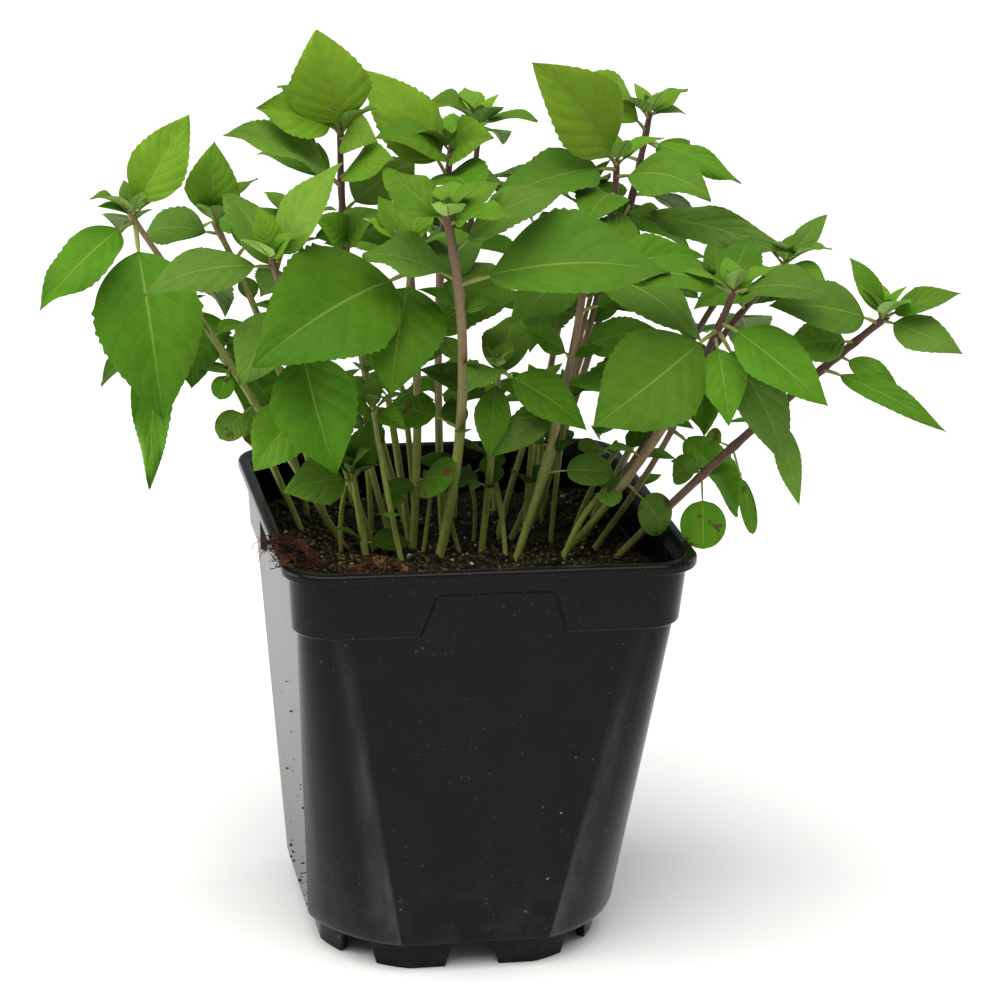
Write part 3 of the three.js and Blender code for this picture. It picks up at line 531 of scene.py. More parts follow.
class Nodes:
    """Short ways to add and join nodes in one node tree."""

    def __init__(self, tree):
        self.tree = tree

    def feed(self, socket, value):
        if isinstance(value, bpy.types.NodeSocket):
            self.tree.links.new(value, socket)
        else:
            socket.default_value = value

    def add(self, kind, inputs=(), **settings):
        node = self.tree.nodes.new("ShaderNode" + kind)
        for key, value in settings.items():
            setattr(node, key, value)
        for key, value in dict(inputs).items():
            self.feed(node.inputs[key], value)
        return node

    def math(self, operation, *values):
        return self.add("Math", enumerate(values), operation=operation).outputs[0]

    def times(self, first, second):
        return self.math("MULTIPLY", first, second)

    def minus(self, first, second):
        return self.math("SUBTRACT", first, second)

    def line(self, value, slope, start):
        """The value times the slope, plus the start."""
        return self.math("MULTIPLY_ADD", value, slope, start)

    def smooth(self, value, low, high, to_low=0.0, to_high=1.0):
        """Turns a value smoothly from to_low to to_high as it goes from low to high."""
        return self.add("MapRange", enumerate((value, low, high, to_low, to_high)),
                        interpolation_type="SMOOTHSTEP").outputs[0]

    def noise(self, vector, scale, detail=2.0, roughness=0.5):
        return self.add("TexNoise", {"Vector": vector, "Scale": scale, "Detail": detail,
                                     "Roughness": roughness}).outputs[0]

    def attribute(self, name, output="Fac"):
        return self.add("Attribute", attribute_name=name).outputs[output]

    def split(self, vector):
        """The three parts of a vector."""
        return self.add("SeparateXYZ", {0: vector}).outputs[:3]

    def grey(self, value, kind="CombineColor"):
        """A colour or a vector of which every part is the value."""
        return self.add(kind, {0: value, 1: value, 2: value}).outputs[0]

    def drawn_out(self, where, share):
        """Coordinates on which a pattern is drawn out along the height."""
        return self.add("Mapping", {"Vector": where, "Scale": (1.0, 1.0, share)}).outputs[0]

    def mix(self, factor, first, second, blend="MIX"):
        node = self.add("Mix", data_type="RGBA", blend_type=blend)
        for index, value in ((0, factor), (6, first), (7, second)):
            self.feed(node.inputs[index], value)
        return node.outputs[2]

    def stain(self, base, mask, strength, colour):
        """Mixes a plain colour over the base where a mask is high."""
        return self.mix(self.times(mask, strength), base, colour4(colour))

    def group(self, name, inputs):
        """What a shared node group makes of its inputs."""
        makers = {"Mottle": mottle_group, "Specks": specks_group, "Veins": veins_group}
        node = self.tree.nodes.new("ShaderNodeGroup")
        node.node_tree = bpy.data.node_groups.get(name) or makers[name]()
        for key, value in inputs.items():
            self.feed(node.inputs[key], value)
        return node.outputs

    def mottle(self, where, colour, scale, amount):
        return self.group("Mottle", {
            "Where": where, "Colour": colour, "Scale": scale, "Amount": amount})

    def specks(self, where, scale, size, cover):
        return self.group("Specks", {
            "Where": where, "Scale": scale, "Size": size, "Cover": cover})[0]

    def finish(self, colour, roughness, gloss=0.5, bump=None):
        """Feeds the material's shader. A bump is its height, strength and distance."""
        shader = next(n for n in self.tree.nodes if n.type == "BSDF_PRINCIPLED")
        self.feed(shader.inputs["Base Color"], colour)
        self.feed(shader.inputs["Roughness"], roughness)
        self.feed(shader.inputs["Specular IOR Level"], gloss)
        if bump:
            parts = dict(zip(("Height", "Strength", "Distance"), bump))
            self.feed(shader.inputs["Normal"], self.add("Bump", parts).outputs[0])


def colour4(colour, factor=1.0):
    return (*[channel * factor for channel in colour], 1.0)


def new_material(name):
    """A new material, its nodes, and the object coordinates that its patterns read."""
    material = bpy.data.materials.new(name)
    material.use_nodes = True
    nodes = Nodes(material.node_tree)
    return material, nodes, nodes.add("TexCoord").outputs["Object"]


def new_group(name, inputs, outputs):
    """The nodes, the inputs and the outputs of a new shader node group with named sockets:
    (name, kind, default) in and (name, kind) out."""
    group = bpy.data.node_groups.new(name, "ShaderNodeTree")
    for label, kind, value in inputs:
        socket = group.interface.new_socket(label, in_out="INPUT", socket_type="NodeSocket" + kind)
        socket.default_value = value
    for label, kind in outputs:
        group.interface.new_socket(label, in_out="OUTPUT", socket_type="NodeSocket" + kind)
    inside = group.nodes.new("NodeGroupInput").outputs[:len(inputs)]
    return Nodes(group), inside, group.nodes.new("NodeGroupOutput").inputs


def mottle_group():
    """Lightens and darkens a colour in soft patches with finer ones inside them."""
    nodes, (where, colour, scale, amount), results = new_group(
        "Mottle", (("Where", "Vector", (0, 0, 0)), ("Colour", "Color", (0.5, 0.5, 0.5, 1)),
                   ("Scale", "Float", 100.0), ("Amount", "Float", 0.2)),
        (("Colour", "Color"), ("Patches", "Float")))
    patches = nodes.noise(where, scale, 3.0, 0.6)
    swing = nodes.times(nodes.minus(patches, 0.5), amount)
    factor = nodes.math("ADD", nodes.times(swing, 2.0), 1.0)
    nodes.feed(results[0], nodes.mix(1.0, colour, nodes.grey(factor), "MULTIPLY"))
    nodes.feed(results[1], patches)
    return nodes.tree


def specks_group():
    """A mask of small scattered specks, denser where a slow noise is high."""
    nodes, (where, scale, size, cover), results = new_group(
        "Specks", (("Where", "Vector", (0, 0, 0)), ("Scale", "Float", 600.0),
                   ("Size", "Float", 0.25), ("Cover", "Float", 0.5)),
        (("Mask", "Float"),))
    ruffle = nodes.add("TexNoise", {
        "Vector": where, "Scale": nodes.times(scale, 2.3), "Detail": 2.0}).outputs["Color"]
    push = nodes.add("VectorMath", {0: ruffle, 1: (0.5, 0.5, 0.5)}, operation="SUBTRACT")
    reach = nodes.grey(nodes.math("DIVIDE", 0.9, scale), "CombineXYZ")
    bent = nodes.add("VectorMath", {0: push.outputs[0], 1: reach, 2: where},
                     operation="MULTIPLY_ADD").outputs[0]
    cells = nodes.add("TexVoronoi", {"Vector": bent, "Scale": scale}).outputs
    dot = nodes.smooth(cells["Distance"], nodes.times(size, 0.6), size, 1.0, 0.0)
    pick = nodes.add("SeparateColor", {0: cells["Color"]}).outputs[0]
    kept = nodes.math("LESS_THAN", pick, cover)
    slow = nodes.smooth(nodes.noise(where, nodes.times(scale, 0.03)), 0.4, 0.65)
    nodes.feed(results[0], nodes.times(nodes.times(dot, kept), slow))
    return nodes.tree


def veins_group():
    """Masks of a leaf's midrib and arched side veins, and the puckered height between them."""
    nodes, (blade, count, sweep), results = new_group(
        "Veins", (("Blade", "Vector", (0, 0, 0)), ("Count", "Float", 6.0), ("Sweep", "Float", 0.3)),
        (("Midrib", "Float"), ("Side veins", "Float"), ("Height", "Float")))
    across, along, _ = nodes.split(blade)
    offset = nodes.minus(nodes.times(across, 2.0), 1.0)
    reach = nodes.math("ABSOLUTE", offset)
    bow = nodes.times(nodes.math("POWER", reach, 1.3), sweep)
    shift = nodes.times(nodes.math("SIGN", offset), 0.14)
    order = nodes.math("ADD", nodes.times(nodes.minus(along, bow), count), shift)
    from_vein = nodes.math("ABSOLUTE", nodes.minus(nodes.math("FRACT", order), 0.5))
    nearness = nodes.times(from_vein, 2.0)
    side = nodes.smooth(nearness, nodes.smooth(reach, 0.0, 1.0, 0.86, 0.97), 1.0)
    side = nodes.times(side, nodes.smooth(reach, 0.55, 0.98, 1.0, 0.15))
    wide = nodes.line(along, -0.045, 0.07)
    midrib = nodes.smooth(reach, nodes.times(wide, 0.4), wide, 1.0, 0.0)
    pucker = nodes.minus(1.0, nodes.math("POWER", nearness, 2.0))
    height = nodes.line(pucker, 0.8, nodes.times(nodes.noise(blade, 42.0, 1.0), 0.4))
    nodes.feed(results[0], midrib)
    nodes.feed(results[1], side)
    nodes.feed(results[2], nodes.minus(height, nodes.times(midrib, 0.8)))
    return nodes.tree


# Pot

def wall_at(z):
    """The wall's outside at a height: half width, corner cut and corner arc."""
    collar = POT_HEIGHT - COLLAR_HEIGHT
    share = (z - FOOT_HEIGHT) / (collar - FOOT_HEIGHT)
    half = BASE_HALF + share * (COLLAR_HALF[0] - COLLAR_PROUD - BASE_HALF)
    part = min(share, 1)
    cut = BASE_CUT + part * (COLLAR_CUT - COLLAR_PROUD - BASE_CUT)
    arc = BASE_ARC + part * (90 - BASE_ARC)
    return half, cut, arc


def inside_at(z, clearance=0.0):
    """The wall's inside at a height, drawn in by a clearance."""
    half, cut, arc = wall_at(z)
    return half - WALL - clearance, cut - 0.5 * (WALL + clearance), arc


def corner_point(half, cut, arc, share):
    """A point of the corner between +X and +Y, from share 0 to 1 along its arc."""
    opening = math.radians(arc / 2)
    radius = cut * math.sqrt(0.5) / math.sin(opening)
    centre = half - cut / 2 - radius * math.cos(opening) * math.sqrt(0.5)
    angle = math.radians(45 + (share - 0.5) * arc)
    return Vector((centre + radius * math.cos(angle), centre + radius * math.sin(angle), 0))


def panel_half(z):
    """Half the width of the sunken panel at a height of the collar."""
    low = POT_HEIGHT - COLLAR_HEIGHT
    high = POT_HEIGHT - PANEL_BELOW_LIP
    share = min(max((z - low) / (high - low), 0), 1)
    return 0.5 * (PANEL_BOTTOM + share * (PANEL_TOP - PANEL_BOTTOM))


def pot_outline(level, corner_steps, sunken):
    """The points once round the pot at a level, as quarters of one corner and the next side."""
    half, cut, arc, z = level
    edge = panel_half(z)
    end = corner_point(half, cut, arc, 1).x
    rest = [end + (edge + PANEL_EDGE - end) * i / 5 for i in range(1, 6)]
    inner = [edge * (1 - i / 5) for i in range(5)]
    stops = rest + inner + [0.0] + [-x for x in reversed(inner)] + [-x for x in reversed(rest)]
    depth = wall_at(z)[0] + 0.1 if sunken else half
    points = []
    for quarter in range(4):
        turn = Matrix.Rotation(quarter * math.pi / 2, 3, "Z")
        ring = [corner_point(half, cut, arc, i / corner_steps) for i in range(corner_steps + 1)]
        ring += [Vector((x, depth if abs(x) <= edge + 1e-6 else half, 0)) for x in stops]
        points += [turn @ (point + z * UP) * MM for point in ring]
    return points


def pot_levels():
    """Levels of the pot from the middle of its underside, up its outside and down its inside.
    Each is (half width, corner cut, corner arc, height, whether the panels are sunken)."""
    collar = POT_HEIGHT - COLLAR_HEIGHT
    lip = POT_HEIGHT - LIP_HEIGHT
    floor_top = FOOT_HEIGHT + FLOOR
    panel_top = POT_HEIGHT - PANEL_BELOW_LIP
    low, high = COLLAR_HALF

    def collar_level(z, sunken=True):
        share = (z - collar) / (lip - collar)
        return low + share * (high - low), COLLAR_CUT + 0.6 * share, 90, z, sunken

    levels = [(0.1, 0.05, BASE_ARC, FOOT_HEIGHT, False),
              (0.6 * BASE_HALF, 0.6 * BASE_CUT, BASE_ARC, FOOT_HEIGHT, False)]
    levels += [(BASE_HALF - inset, BASE_CUT, BASE_ARC, FOOT_HEIGHT + up, False)
               for inset, up in BASE_ROUNDING]
    levels += [(*wall_at(z), z, False) for z in (11, 14, 20, 30, 40, 50, 60, 70, 80, 90, 98)]
    levels += [(*wall_at(z), z, True) for z in (collar - 1.2, collar - 0.4)]
    levels += [(low - 0.9, COLLAR_CUT - 0.6, 90, collar - 0.15, True),
               (low - 0.3, COLLAR_CUT, 90, collar + 0.05, True)]
    levels += [collar_level(z) for z in (collar + 0.5, 108, 111, 114, panel_top - PANEL_EDGE)]
    levels += [collar_level(z, False) for z in (panel_top, panel_top + 0.6, 119.5, lip - 0.5)]
    levels += [(LIP_HALF - inset, LIP_CUT, 90, lip + up, False) for inset, up in LIP_UNDERSIDE]
    levels += [(LIP_HALF - inset, LIP_CUT, 90, POT_HEIGHT - down, False)
               for inset, down in LIP_EDGE]
    levels += [(LIP_HALF - inset, LIP_CUT - 0.4 * inset, 90, POT_HEIGHT - down, False)
               for inset, down in LIP_ROLL]
    levels += [(*inside_at(z), z, False) for z in (
        lip - 1, 116, SOIL_TOP, 100, 85, WAIST, 30, floor_top + 1.5)]
    half, cut, arc = inside_at(floor_top)
    levels += [(half - 1.2, cut, arc, floor_top, False),
               (0.6 * half, 0.6 * cut, arc, floor_top, False),
               (0.1, 0.05, arc, floor_top, False)]
    return levels


def foot_point(share, up):
    """A point on the feet's ring: share of the foot along an eighth turn, and height."""
    outer = BASE_HALF - FOOT_INSET - FOOT_DRAFT * (1 - up / FOOT_HEIGHT)
    ring = [Vector((outer, 0, 0)), corner_point(outer, BASE_CUT - 1, BASE_ARC, 0)]
    ring += [corner_point(outer, BASE_CUT - 1, BASE_ARC, i / 16) for i in range(1, 9)]
    lengths = [(b - a).length for a, b in zip(ring, ring[1:])]
    taper = FOOT_SLOPE * (1 - up / FOOT_HEIGHT)
    start = FOOT_SIDE_GAP / 2 + taper
    stop = sum(lengths) - FOOT_CORNER_GAP / 2 - taper
    left = start + share * (stop - start)
    for a, b, length in zip(ring, ring[1:], lengths):
        if left <= length:
            break
        left -= length
    return a + (b - a) * min(left / length, 1) + up * UP


def add_foot(bm, quarter, mirrored):
    """One curved foot: a bent sheet with a thickness and rounded edges, sunk into the base."""
    top = FOOT_HEIGHT + FLOOR / 2
    turn = Matrix.Rotation(quarter * math.pi / 2, 3, "Z")
    flip = Vector((1, -1 if mirrored else 1, 1))

    def place(share, up):
        return turn @ (foot_point(share, up * top) * flip) * MM

    faces = faces_of(sheet(bm, 12, 4, place))
    bmesh.ops.recalc_face_normals(bm, faces=faces)
    if faces[0].normal.dot(faces[0].calc_center_median() * Vector((1, 1, 0))) < 0:
        bmesh.ops.reverse_faces(bm, faces=faces)
    made = bmesh.ops.solidify(bm, geom=faces, thickness=FOOT_WALL * MM)["geom"]
    solid = faces_of(verts_in(made))
    rims = dict.fromkeys(edge for face in solid for edge in face.edges
                         if edge.calc_face_angle(0) > 0.8)
    bmesh.ops.bevel(bm, geom=list(rims), offset=FOOT_EDGE * MM, segments=2, profile=0.5,
                    affect="EDGES", material=-1)


def drill_drains(piece):
    """Cuts the round drain holes through the pot's floor."""
    bm = bmesh.new()
    for i in range(5):
        angle = math.pi / 4 + i * math.pi / 2
        reach = DRAIN_REACH if i < 4 else 0
        spot = Vector((reach * math.cos(angle), reach * math.sin(angle), FOOT_HEIGHT + FLOOR / 2))
        bmesh.ops.create_cone(
            bm, cap_ends=True, segments=DRAIN_SIDES, radius1=DRAIN_RADIUS * MM,
            radius2=DRAIN_RADIUS * MM, depth=4 * FLOOR * MM,
            matrix=Matrix.Translation(spot * MM))
    drill = add_object(bm, "drill")
    cut = piece.modifiers.new("drains", "BOOLEAN")
    cut.object = drill
    cut.operation = "DIFFERENCE"
    cut.solver = "EXACT"
    whole = piece.evaluated_get(bpy.context.evaluated_depsgraph_get())
    drilled = bpy.data.meshes.new_from_object(whole)
    piece.modifiers.clear()
    piece.data = drilled
    bpy.data.objects.remove(drill)


def mark_creases(mesh):
    """Sharpens the creases between the flat walls and the corners, and stores in a point
    attribute a painted highlight beside them, a pale band that widens towards the base."""
    top = POT_HEIGHT - COLLAR_HEIGHT
    painted_highlight = mesh.attributes.new("painted_highlight", "FLOAT", "POINT")
    creased = set()
    for vert in mesh.vertices:
        place = vert.co / MM
        if not FOOT_HEIGHT < place.z < top - 0.3:
            continue
        half, cut, arc = wall_at(place.z)
        near = min(abs(place.x), abs(place.y))
        far = max(abs(place.x), abs(place.y))
        end = corner_point(half, cut, arc, 1).x
        if far < half - cut or near < end - 0.02:
            continue
        if near < end + 0.02 and far > half - 0.02:
            creased.add(vert.index)
        # The painted highlight fades away from the crease, and is wider and stronger towards the
        # base.
        fall = 1 - (place.z - FOOT_HEIGHT) / (top - FOOT_HEIGHT)
        reach = (near - end) / (2 + 7 * fall)
        painted_highlight.data[vert.index].value = max(1 - reach, 0) * min(0.25 + 1.2 * fall, 1)
    for edge in mesh.edges:
        if edge.vertices[0] in creased and edge.vertices[1] in creased:
            edge.use_edge_sharp = True


def plastic_material(settings):
    """Black moulded plastic with fine dust, a painted highlight beside the creases, and soil that
    clings near the lip.
    """
    material, nodes, where = new_material("pot_plastic")
    height = nodes.split(where)[2]
    mottled = nodes.mottle(where, colour4(settings.plastic), 60.0, 0.5)
    dust = nodes.specks(where, 900.0, 0.24, 0.08)
    lint = nodes.specks(where, 360.0, 0.16, 0.05)
    bits = nodes.specks(where, 620.0, 0.28, 0.2)
    blotch = nodes.smooth(nodes.noise(where, 120.0, 5.0, 0.7), 0.42, 0.66)
    streak = nodes.noise(nodes.drawn_out(where, 0.25), 240.0, 3.0, 0.6)
    # Painted highlight: a streaked pale band beside each crease stands in for a reflection; it also
    # roughens the plastic there.
    painted_highlight_band = nodes.times(nodes.attribute("painted_highlight"),
                       nodes.line(nodes.smooth(streak, 0.35, 0.75), 0.6, 0.4))
    low = nodes.times(nodes.smooth(height, 0.012, 0.042, 1.0, 0.0), blotch)
    under_collar = nodes.times(nodes.smooth(height, 0.092, 0.101),
                               nodes.smooth(height, 0.105, 0.1075, 1.0, 0.25))
    high = nodes.math("MAXIMUM", under_collar, nodes.smooth(height, 0.117, 0.123, 0.0, 0.8))
    # The painted highlight band, and a faint paler blotching near the base.
    highlight_and_blotch = nodes.math("ADD", nodes.times(painted_highlight_band, 0.13), nodes.times(low, 0.02))
    colour = nodes.mix(highlight_and_blotch, mottled[0], colour4(HIGHLIGHT_AND_BLOTCH_GREY))
    colour = nodes.stain(colour, dust, 0.16, PALE_DUST)
    colour = nodes.stain(colour, lint, 0.6, LINT)
    soiled = nodes.times(nodes.times(bits, high), 0.7)
    colour = nodes.mix(soiled, colour, colour4(BROWN_SPECKS))
    marks = nodes.math("MAXIMUM", nodes.math("MAXIMUM", dust, lint), soiled)
    rough = nodes.line(marks, 0.5, nodes.line(painted_highlight_band, 0.2, settings.roughness))
    grain = nodes.line(nodes.noise(where, 1400.0), 0.02, nodes.noise(where, 45.0))
    nodes.finish(colour, rough, 0.13, (grain, 0.2, 0.0012))
    return material


class BASIL_OT_pot(bpy.types.Operator):
    """Model the moulded pot with its collar panels, feet and drain holes"""

    bl_idname = "basil.pot"
    bl_label = "Moulded pot"

    def execute(self, context):
        settings = context.scene.basil_pot
        levels = pot_levels()
        rings = [pot_outline(level[:4], settings.corner_steps, level[4]) for level in levels]
        steps = len(rings[0])
        bm = bmesh.new()

        def place(round_share, along):
            return rings[round(along * (len(rings) - 1))][round(round_share * steps) % steps]

        close_tube(bm, sheet(bm, steps, len(rings) - 1, place))
        piece = finish_piece(bm, "pot_moulded", [], 18)
        drill_drains(piece)
        bm = bmesh.new()
        bm.from_mesh(piece.data)
        for quarter in range(4):
            for mirrored in (False, True):
                add_foot(bm, quarter, mirrored)
        bmesh.ops.recalc_face_normals(bm, faces=bm.faces[:])
        bpy.data.objects.remove(piece)
        piece = finish_piece(bm, "pot_moulded", [plastic_material(settings)], 18)
        mark_creases(piece.data)
        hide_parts("pot")
        return {"FINISHED"}


# Soil

def relief(x, y):
    """Height of the soil over its mean level, in millimetres, as heaped in the pot."""
    waves = 1.1 * math.sin(x / 9 + 1) * math.cos(y / 11) + 0.7 * math.sin(x / 4.3 + y / 5.1)
    return waves + HEAP * ((50 - y - 0.3 * x) / 100) ** 2 - 1


def lumps(x, y):
    """Crumbly height that is added to the relief, in millimetres."""
    spot = Vector((x, y, 3.7))
    coarse = noise.noise(spot / 5.5)
    medium = abs(noise.noise(spot / 2.3))
    fine = noise.noise(spot / 1.1)
    return 0.9 * coarse + 1.2 * medium + 0.6 * fine - 0.4


def squeeze(a, b, level):
    """Moves a point of the square from -1 to 1 to the place it has in a rounded outline."""
    half, cut, arc = level
    reach = max(abs(a), abs(b))
    if reach < 1e-6:
        return Vector((0, 0, 0))
    angle = math.degrees(math.atan2(min(abs(a), abs(b)), reach))
    first = corner_point(half, cut, arc, 0)
    edge = math.degrees(math.atan2(first.y, first.x))
    if angle <= edge:
        return Vector((a * half, b * half, 0))
    share = 0.5 * (angle - edge) / (45 - edge)
    limit = corner_point(half, cut, arc, share).length
    square = half / math.cos(math.radians(angle))
    pull = 1 - reach ** 6 * (1 - limit / square)
    return Vector((a * half * pull, b * half * pull, 0))


def peat_material(settings):
    """Dark moist peat with yellow green flecks and paler dust."""
    material, nodes, where = new_material("peat")
    mottled = nodes.mottle(where, colour4(settings.peat), 330.0, 1.2)
    dry = nodes.smooth(nodes.noise(where, 70.0, 3.0), 0.45, 0.7)
    colour = nodes.stain(mottled[0], dry, 0.3, DRY_PEAT)
    colour = nodes.stain(colour, nodes.specks(where, 560.0, 0.52, 0.68), 0.85, MOSS)
    colour = nodes.stain(colour, nodes.specks(where, 1300.0, 0.34, 0.25), 0.7, PEAT_DUST)
    nodes.finish(colour, 0.9, 0.2, (nodes.noise(where, 900.0, 6.0, 0.7), 0.9, 0.0006))
    return material


def perlite_material():
    """Chalky pale grains, some stained yellow by the peat."""
    material, nodes, where = new_material("perlite")
    stain = nodes.smooth(nodes.noise(where, 420.0, 0.0), 0.54, 0.60, 1.0, 0.0)
    stained, clean = PERLITE
    pale = nodes.mix(stain, colour4(clean), colour4(stained))
    mottled = nodes.mottle(where, pale, 800.0, 0.3)
    nodes.finish(mottled[0], 0.9, bump=(mottled[1], 0.8, 0.0004))
    return material


def fibre_material(name, tones):
    """Dry fibre, damp and dark in places and bleached in others."""
    material, nodes, where = new_material(name)
    bleached = nodes.smooth(nodes.noise(where, 190.0), 0.42, 0.66)
    mottled = nodes.mottle(where, nodes.mix(bleached, *map(colour4, tones)), 600.0, 0.7)
    nodes.finish(mottled[0], 0.75, 0.15, (mottled[1], 0.6, 0.0003))
    return material


def add_crumb(bm, draw, spot, size, flatness=0.7):
    """A small broken lump at a spot, in millimetres."""
    turn = Matrix.Rotation(any_turn(draw), 4, "Z") @ Matrix.Rotation(any_turn(draw), 4, "X")
    stretch = Matrix.Diagonal((1.0, 0.7 + 0.5 * draw.random(), flatness, 1.0))
    place = Matrix.Translation(spot * MM) @ turn @ stretch
    made = bmesh.ops.create_icosphere(bm, subdivisions=1, radius=size * MM, matrix=place)
    for vert in made["verts"]:
        vert.co += (vert.co - spot * MM) * (0.7 * draw.random() - 0.3)


def spread_spot(draw, margin):
    """A spot on the soil at least a margin away from the pot's wall, in millimetres."""
    level = inside_at(SOIL_TOP, margin)
    spot = squeeze(2 * draw.random() - 1, 2 * draw.random() - 1, level)
    return Vector((spot.x, spot.y, SOIL_TOP + relief(spot.x, spot.y) + lumps(spot.x, spot.y)))


class BASIL_OT_soil(bpy.types.Operator):
    """Fill the pot with crumbly peat and scatter crumbs, perlite grains and bits of fibre on it"""

    bl_idname = "basil.soil"
    bl_label = "Soil"

    def execute(self, context):
        settings = context.scene.basil_soil
        peat = peat_material(settings)
        self.fill(peat)
        self.scatter(settings, peat)
        return {"FINISHED"}

    def fill(self, peat):
        """The body of peat: a rumpled top whose rim is drawn down to the pot's floor."""
        level = inside_at(SOIL_TOP, GAP)
        bm = bmesh.new()

        def place(across, along):
            spot = squeeze(2 * across - 1, 2 * along - 1, level)
            calm = 1 - max(abs(2 * across - 1), abs(2 * along - 1)) ** 12
            z = SOIL_TOP + relief(spot.x, spot.y) + calm * lumps(spot.x, spot.y)
            return Vector((spot.x, spot.y, z)) * MM

        sheet(bm, SOIL_GRID, SOIL_GRID, place)
        floor = FOOT_HEIGHT + FLOOR + GAP
        for z in (100, WAIST, floor):
            rim = [edge for edge in bm.edges if edge.is_boundary]
            made = bmesh.ops.extrude_edge_only(bm, edges=rim)["geom"]
            lower = inside_at(z, GAP)
            for vert in verts_in(made):
                reach = max(abs(vert.co.x), abs(vert.co.y))
                vert.co = squeeze(vert.co.x / reach, vert.co.y / reach, lower) * MM
                vert.co.z = z * MM
        rim = [edge for edge in bm.edges if edge.is_boundary]
        bmesh.ops.holes_fill(bm, edges=rim, sides=0)
        bmesh.ops.recalc_face_normals(bm, faces=bm.faces[:])
        piece = finish_piece(bm, "soil_body", [peat], 60)
        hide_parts("soil")

    def scatter(self, settings, peat):
        draw = random.Random(SOIL_SEED)

        def crumb(bm):
            size = 0.3 + 1.5 * draw.random() ** 3
            add_crumb(bm, draw, spread_spot(draw, 2) + 0.2 * size * UP, size)

        def grain(bm):
            size = 0.18 + 0.65 * draw.random() ** 4
            add_crumb(bm, draw, spread_spot(draw, 3) + 0.35 * size * UP, size, 0.6)

        def straw(bm):
            start = spread_spot(draw, 6)
            heading = any_turn(draw)
            away = direction(heading, 0) * (3 + 8 * draw.random())
            end = start + away
            if max(abs(end.x), abs(end.y)) > inside_at(SOIL_TOP, 2)[0] - 8:
                end = start - away
            end.z = SOIL_TOP + relief(end.x, end.y) + 0.6
            hump = Vector((2 * draw.random() - 1, 2 * draw.random() - 1, 1.6))
            points = [point * MM for point in (
                start + 0.3 * UP, start.lerp(end, 0.5) + hump, end)]
            tube(bm, lambda t: bezier(points, t), lambda t, a: 0.11 * MM * (1.1 - 0.6 * t), 4, 6)

        def clinging_crumb(bm):
            z = 12 + 70 * draw.random() ** 1.8
            half, cut, _ = wall_at(z)
            size = 0.14 + 0.42 * draw.random() ** 2
            across = (half - cut) * (1.6 * draw.random() - 1)
            add_crumb(bm, draw, Vector((-half - 0.2 * size, across, z)), size, 0.5)

        for name, count, make, material, smooth_angle in (
                ("soil_crumbs", settings.crumbs, crumb, peat, 25),
                ("perlite_grains", settings.grains, grain, perlite_material(), 25),
                ("soil_fibres", STRAWS, straw, fibre_material("dry_fibre", STRAW), 40),
                ("clinging_crumbs", CLINGING_CRUMBS, clinging_crumb, peat, 25)):
            piece = finish_piece(heap(count, make), name, [material], smooth_angle)


# Fibre tuft

def tuft_line():
    """The three points of the tuft's middle line, in millimetres."""
    return [Vector((x, y, SOIL_TOP + relief(x, y) + TUFT_RISE))
            for x, y in (TUFT_START, TUFT_CORNER, TUFT_END)]


def curly(draw, start, heading, length, curl):
    """A curled fibre's line in millimetres: straight ahead, swung about by a smooth noise."""
    seed = 90 * draw.random()
    turns = 1.2 + 2.2 * draw.random()

    def line(share):
        swing = noise.noise_vector(Vector((seed, turns * share, 7.1)))
        swing -= noise.noise_vector(Vector((seed, 0, 7.1)))
        return start + heading * (length * share) + swing * curl

    return line


def settle(point, thick):
    """Lifts a point of a fibre out of the soil and out of the left and front of the lip."""
    depth = max(-point.x, -point.y)
    if LIP_HALF - LIP_WIDTH - 0.4 < depth < LIP_HALF + thick:
        point.z = max(point.z, POT_HEIGHT + thick)
    elif depth <= LIP_HALF - LIP_WIDTH - 0.4:
        point.z = max(point.z, SOIL_TOP + relief(point.x, point.y) + 0.1)
    return point * MM


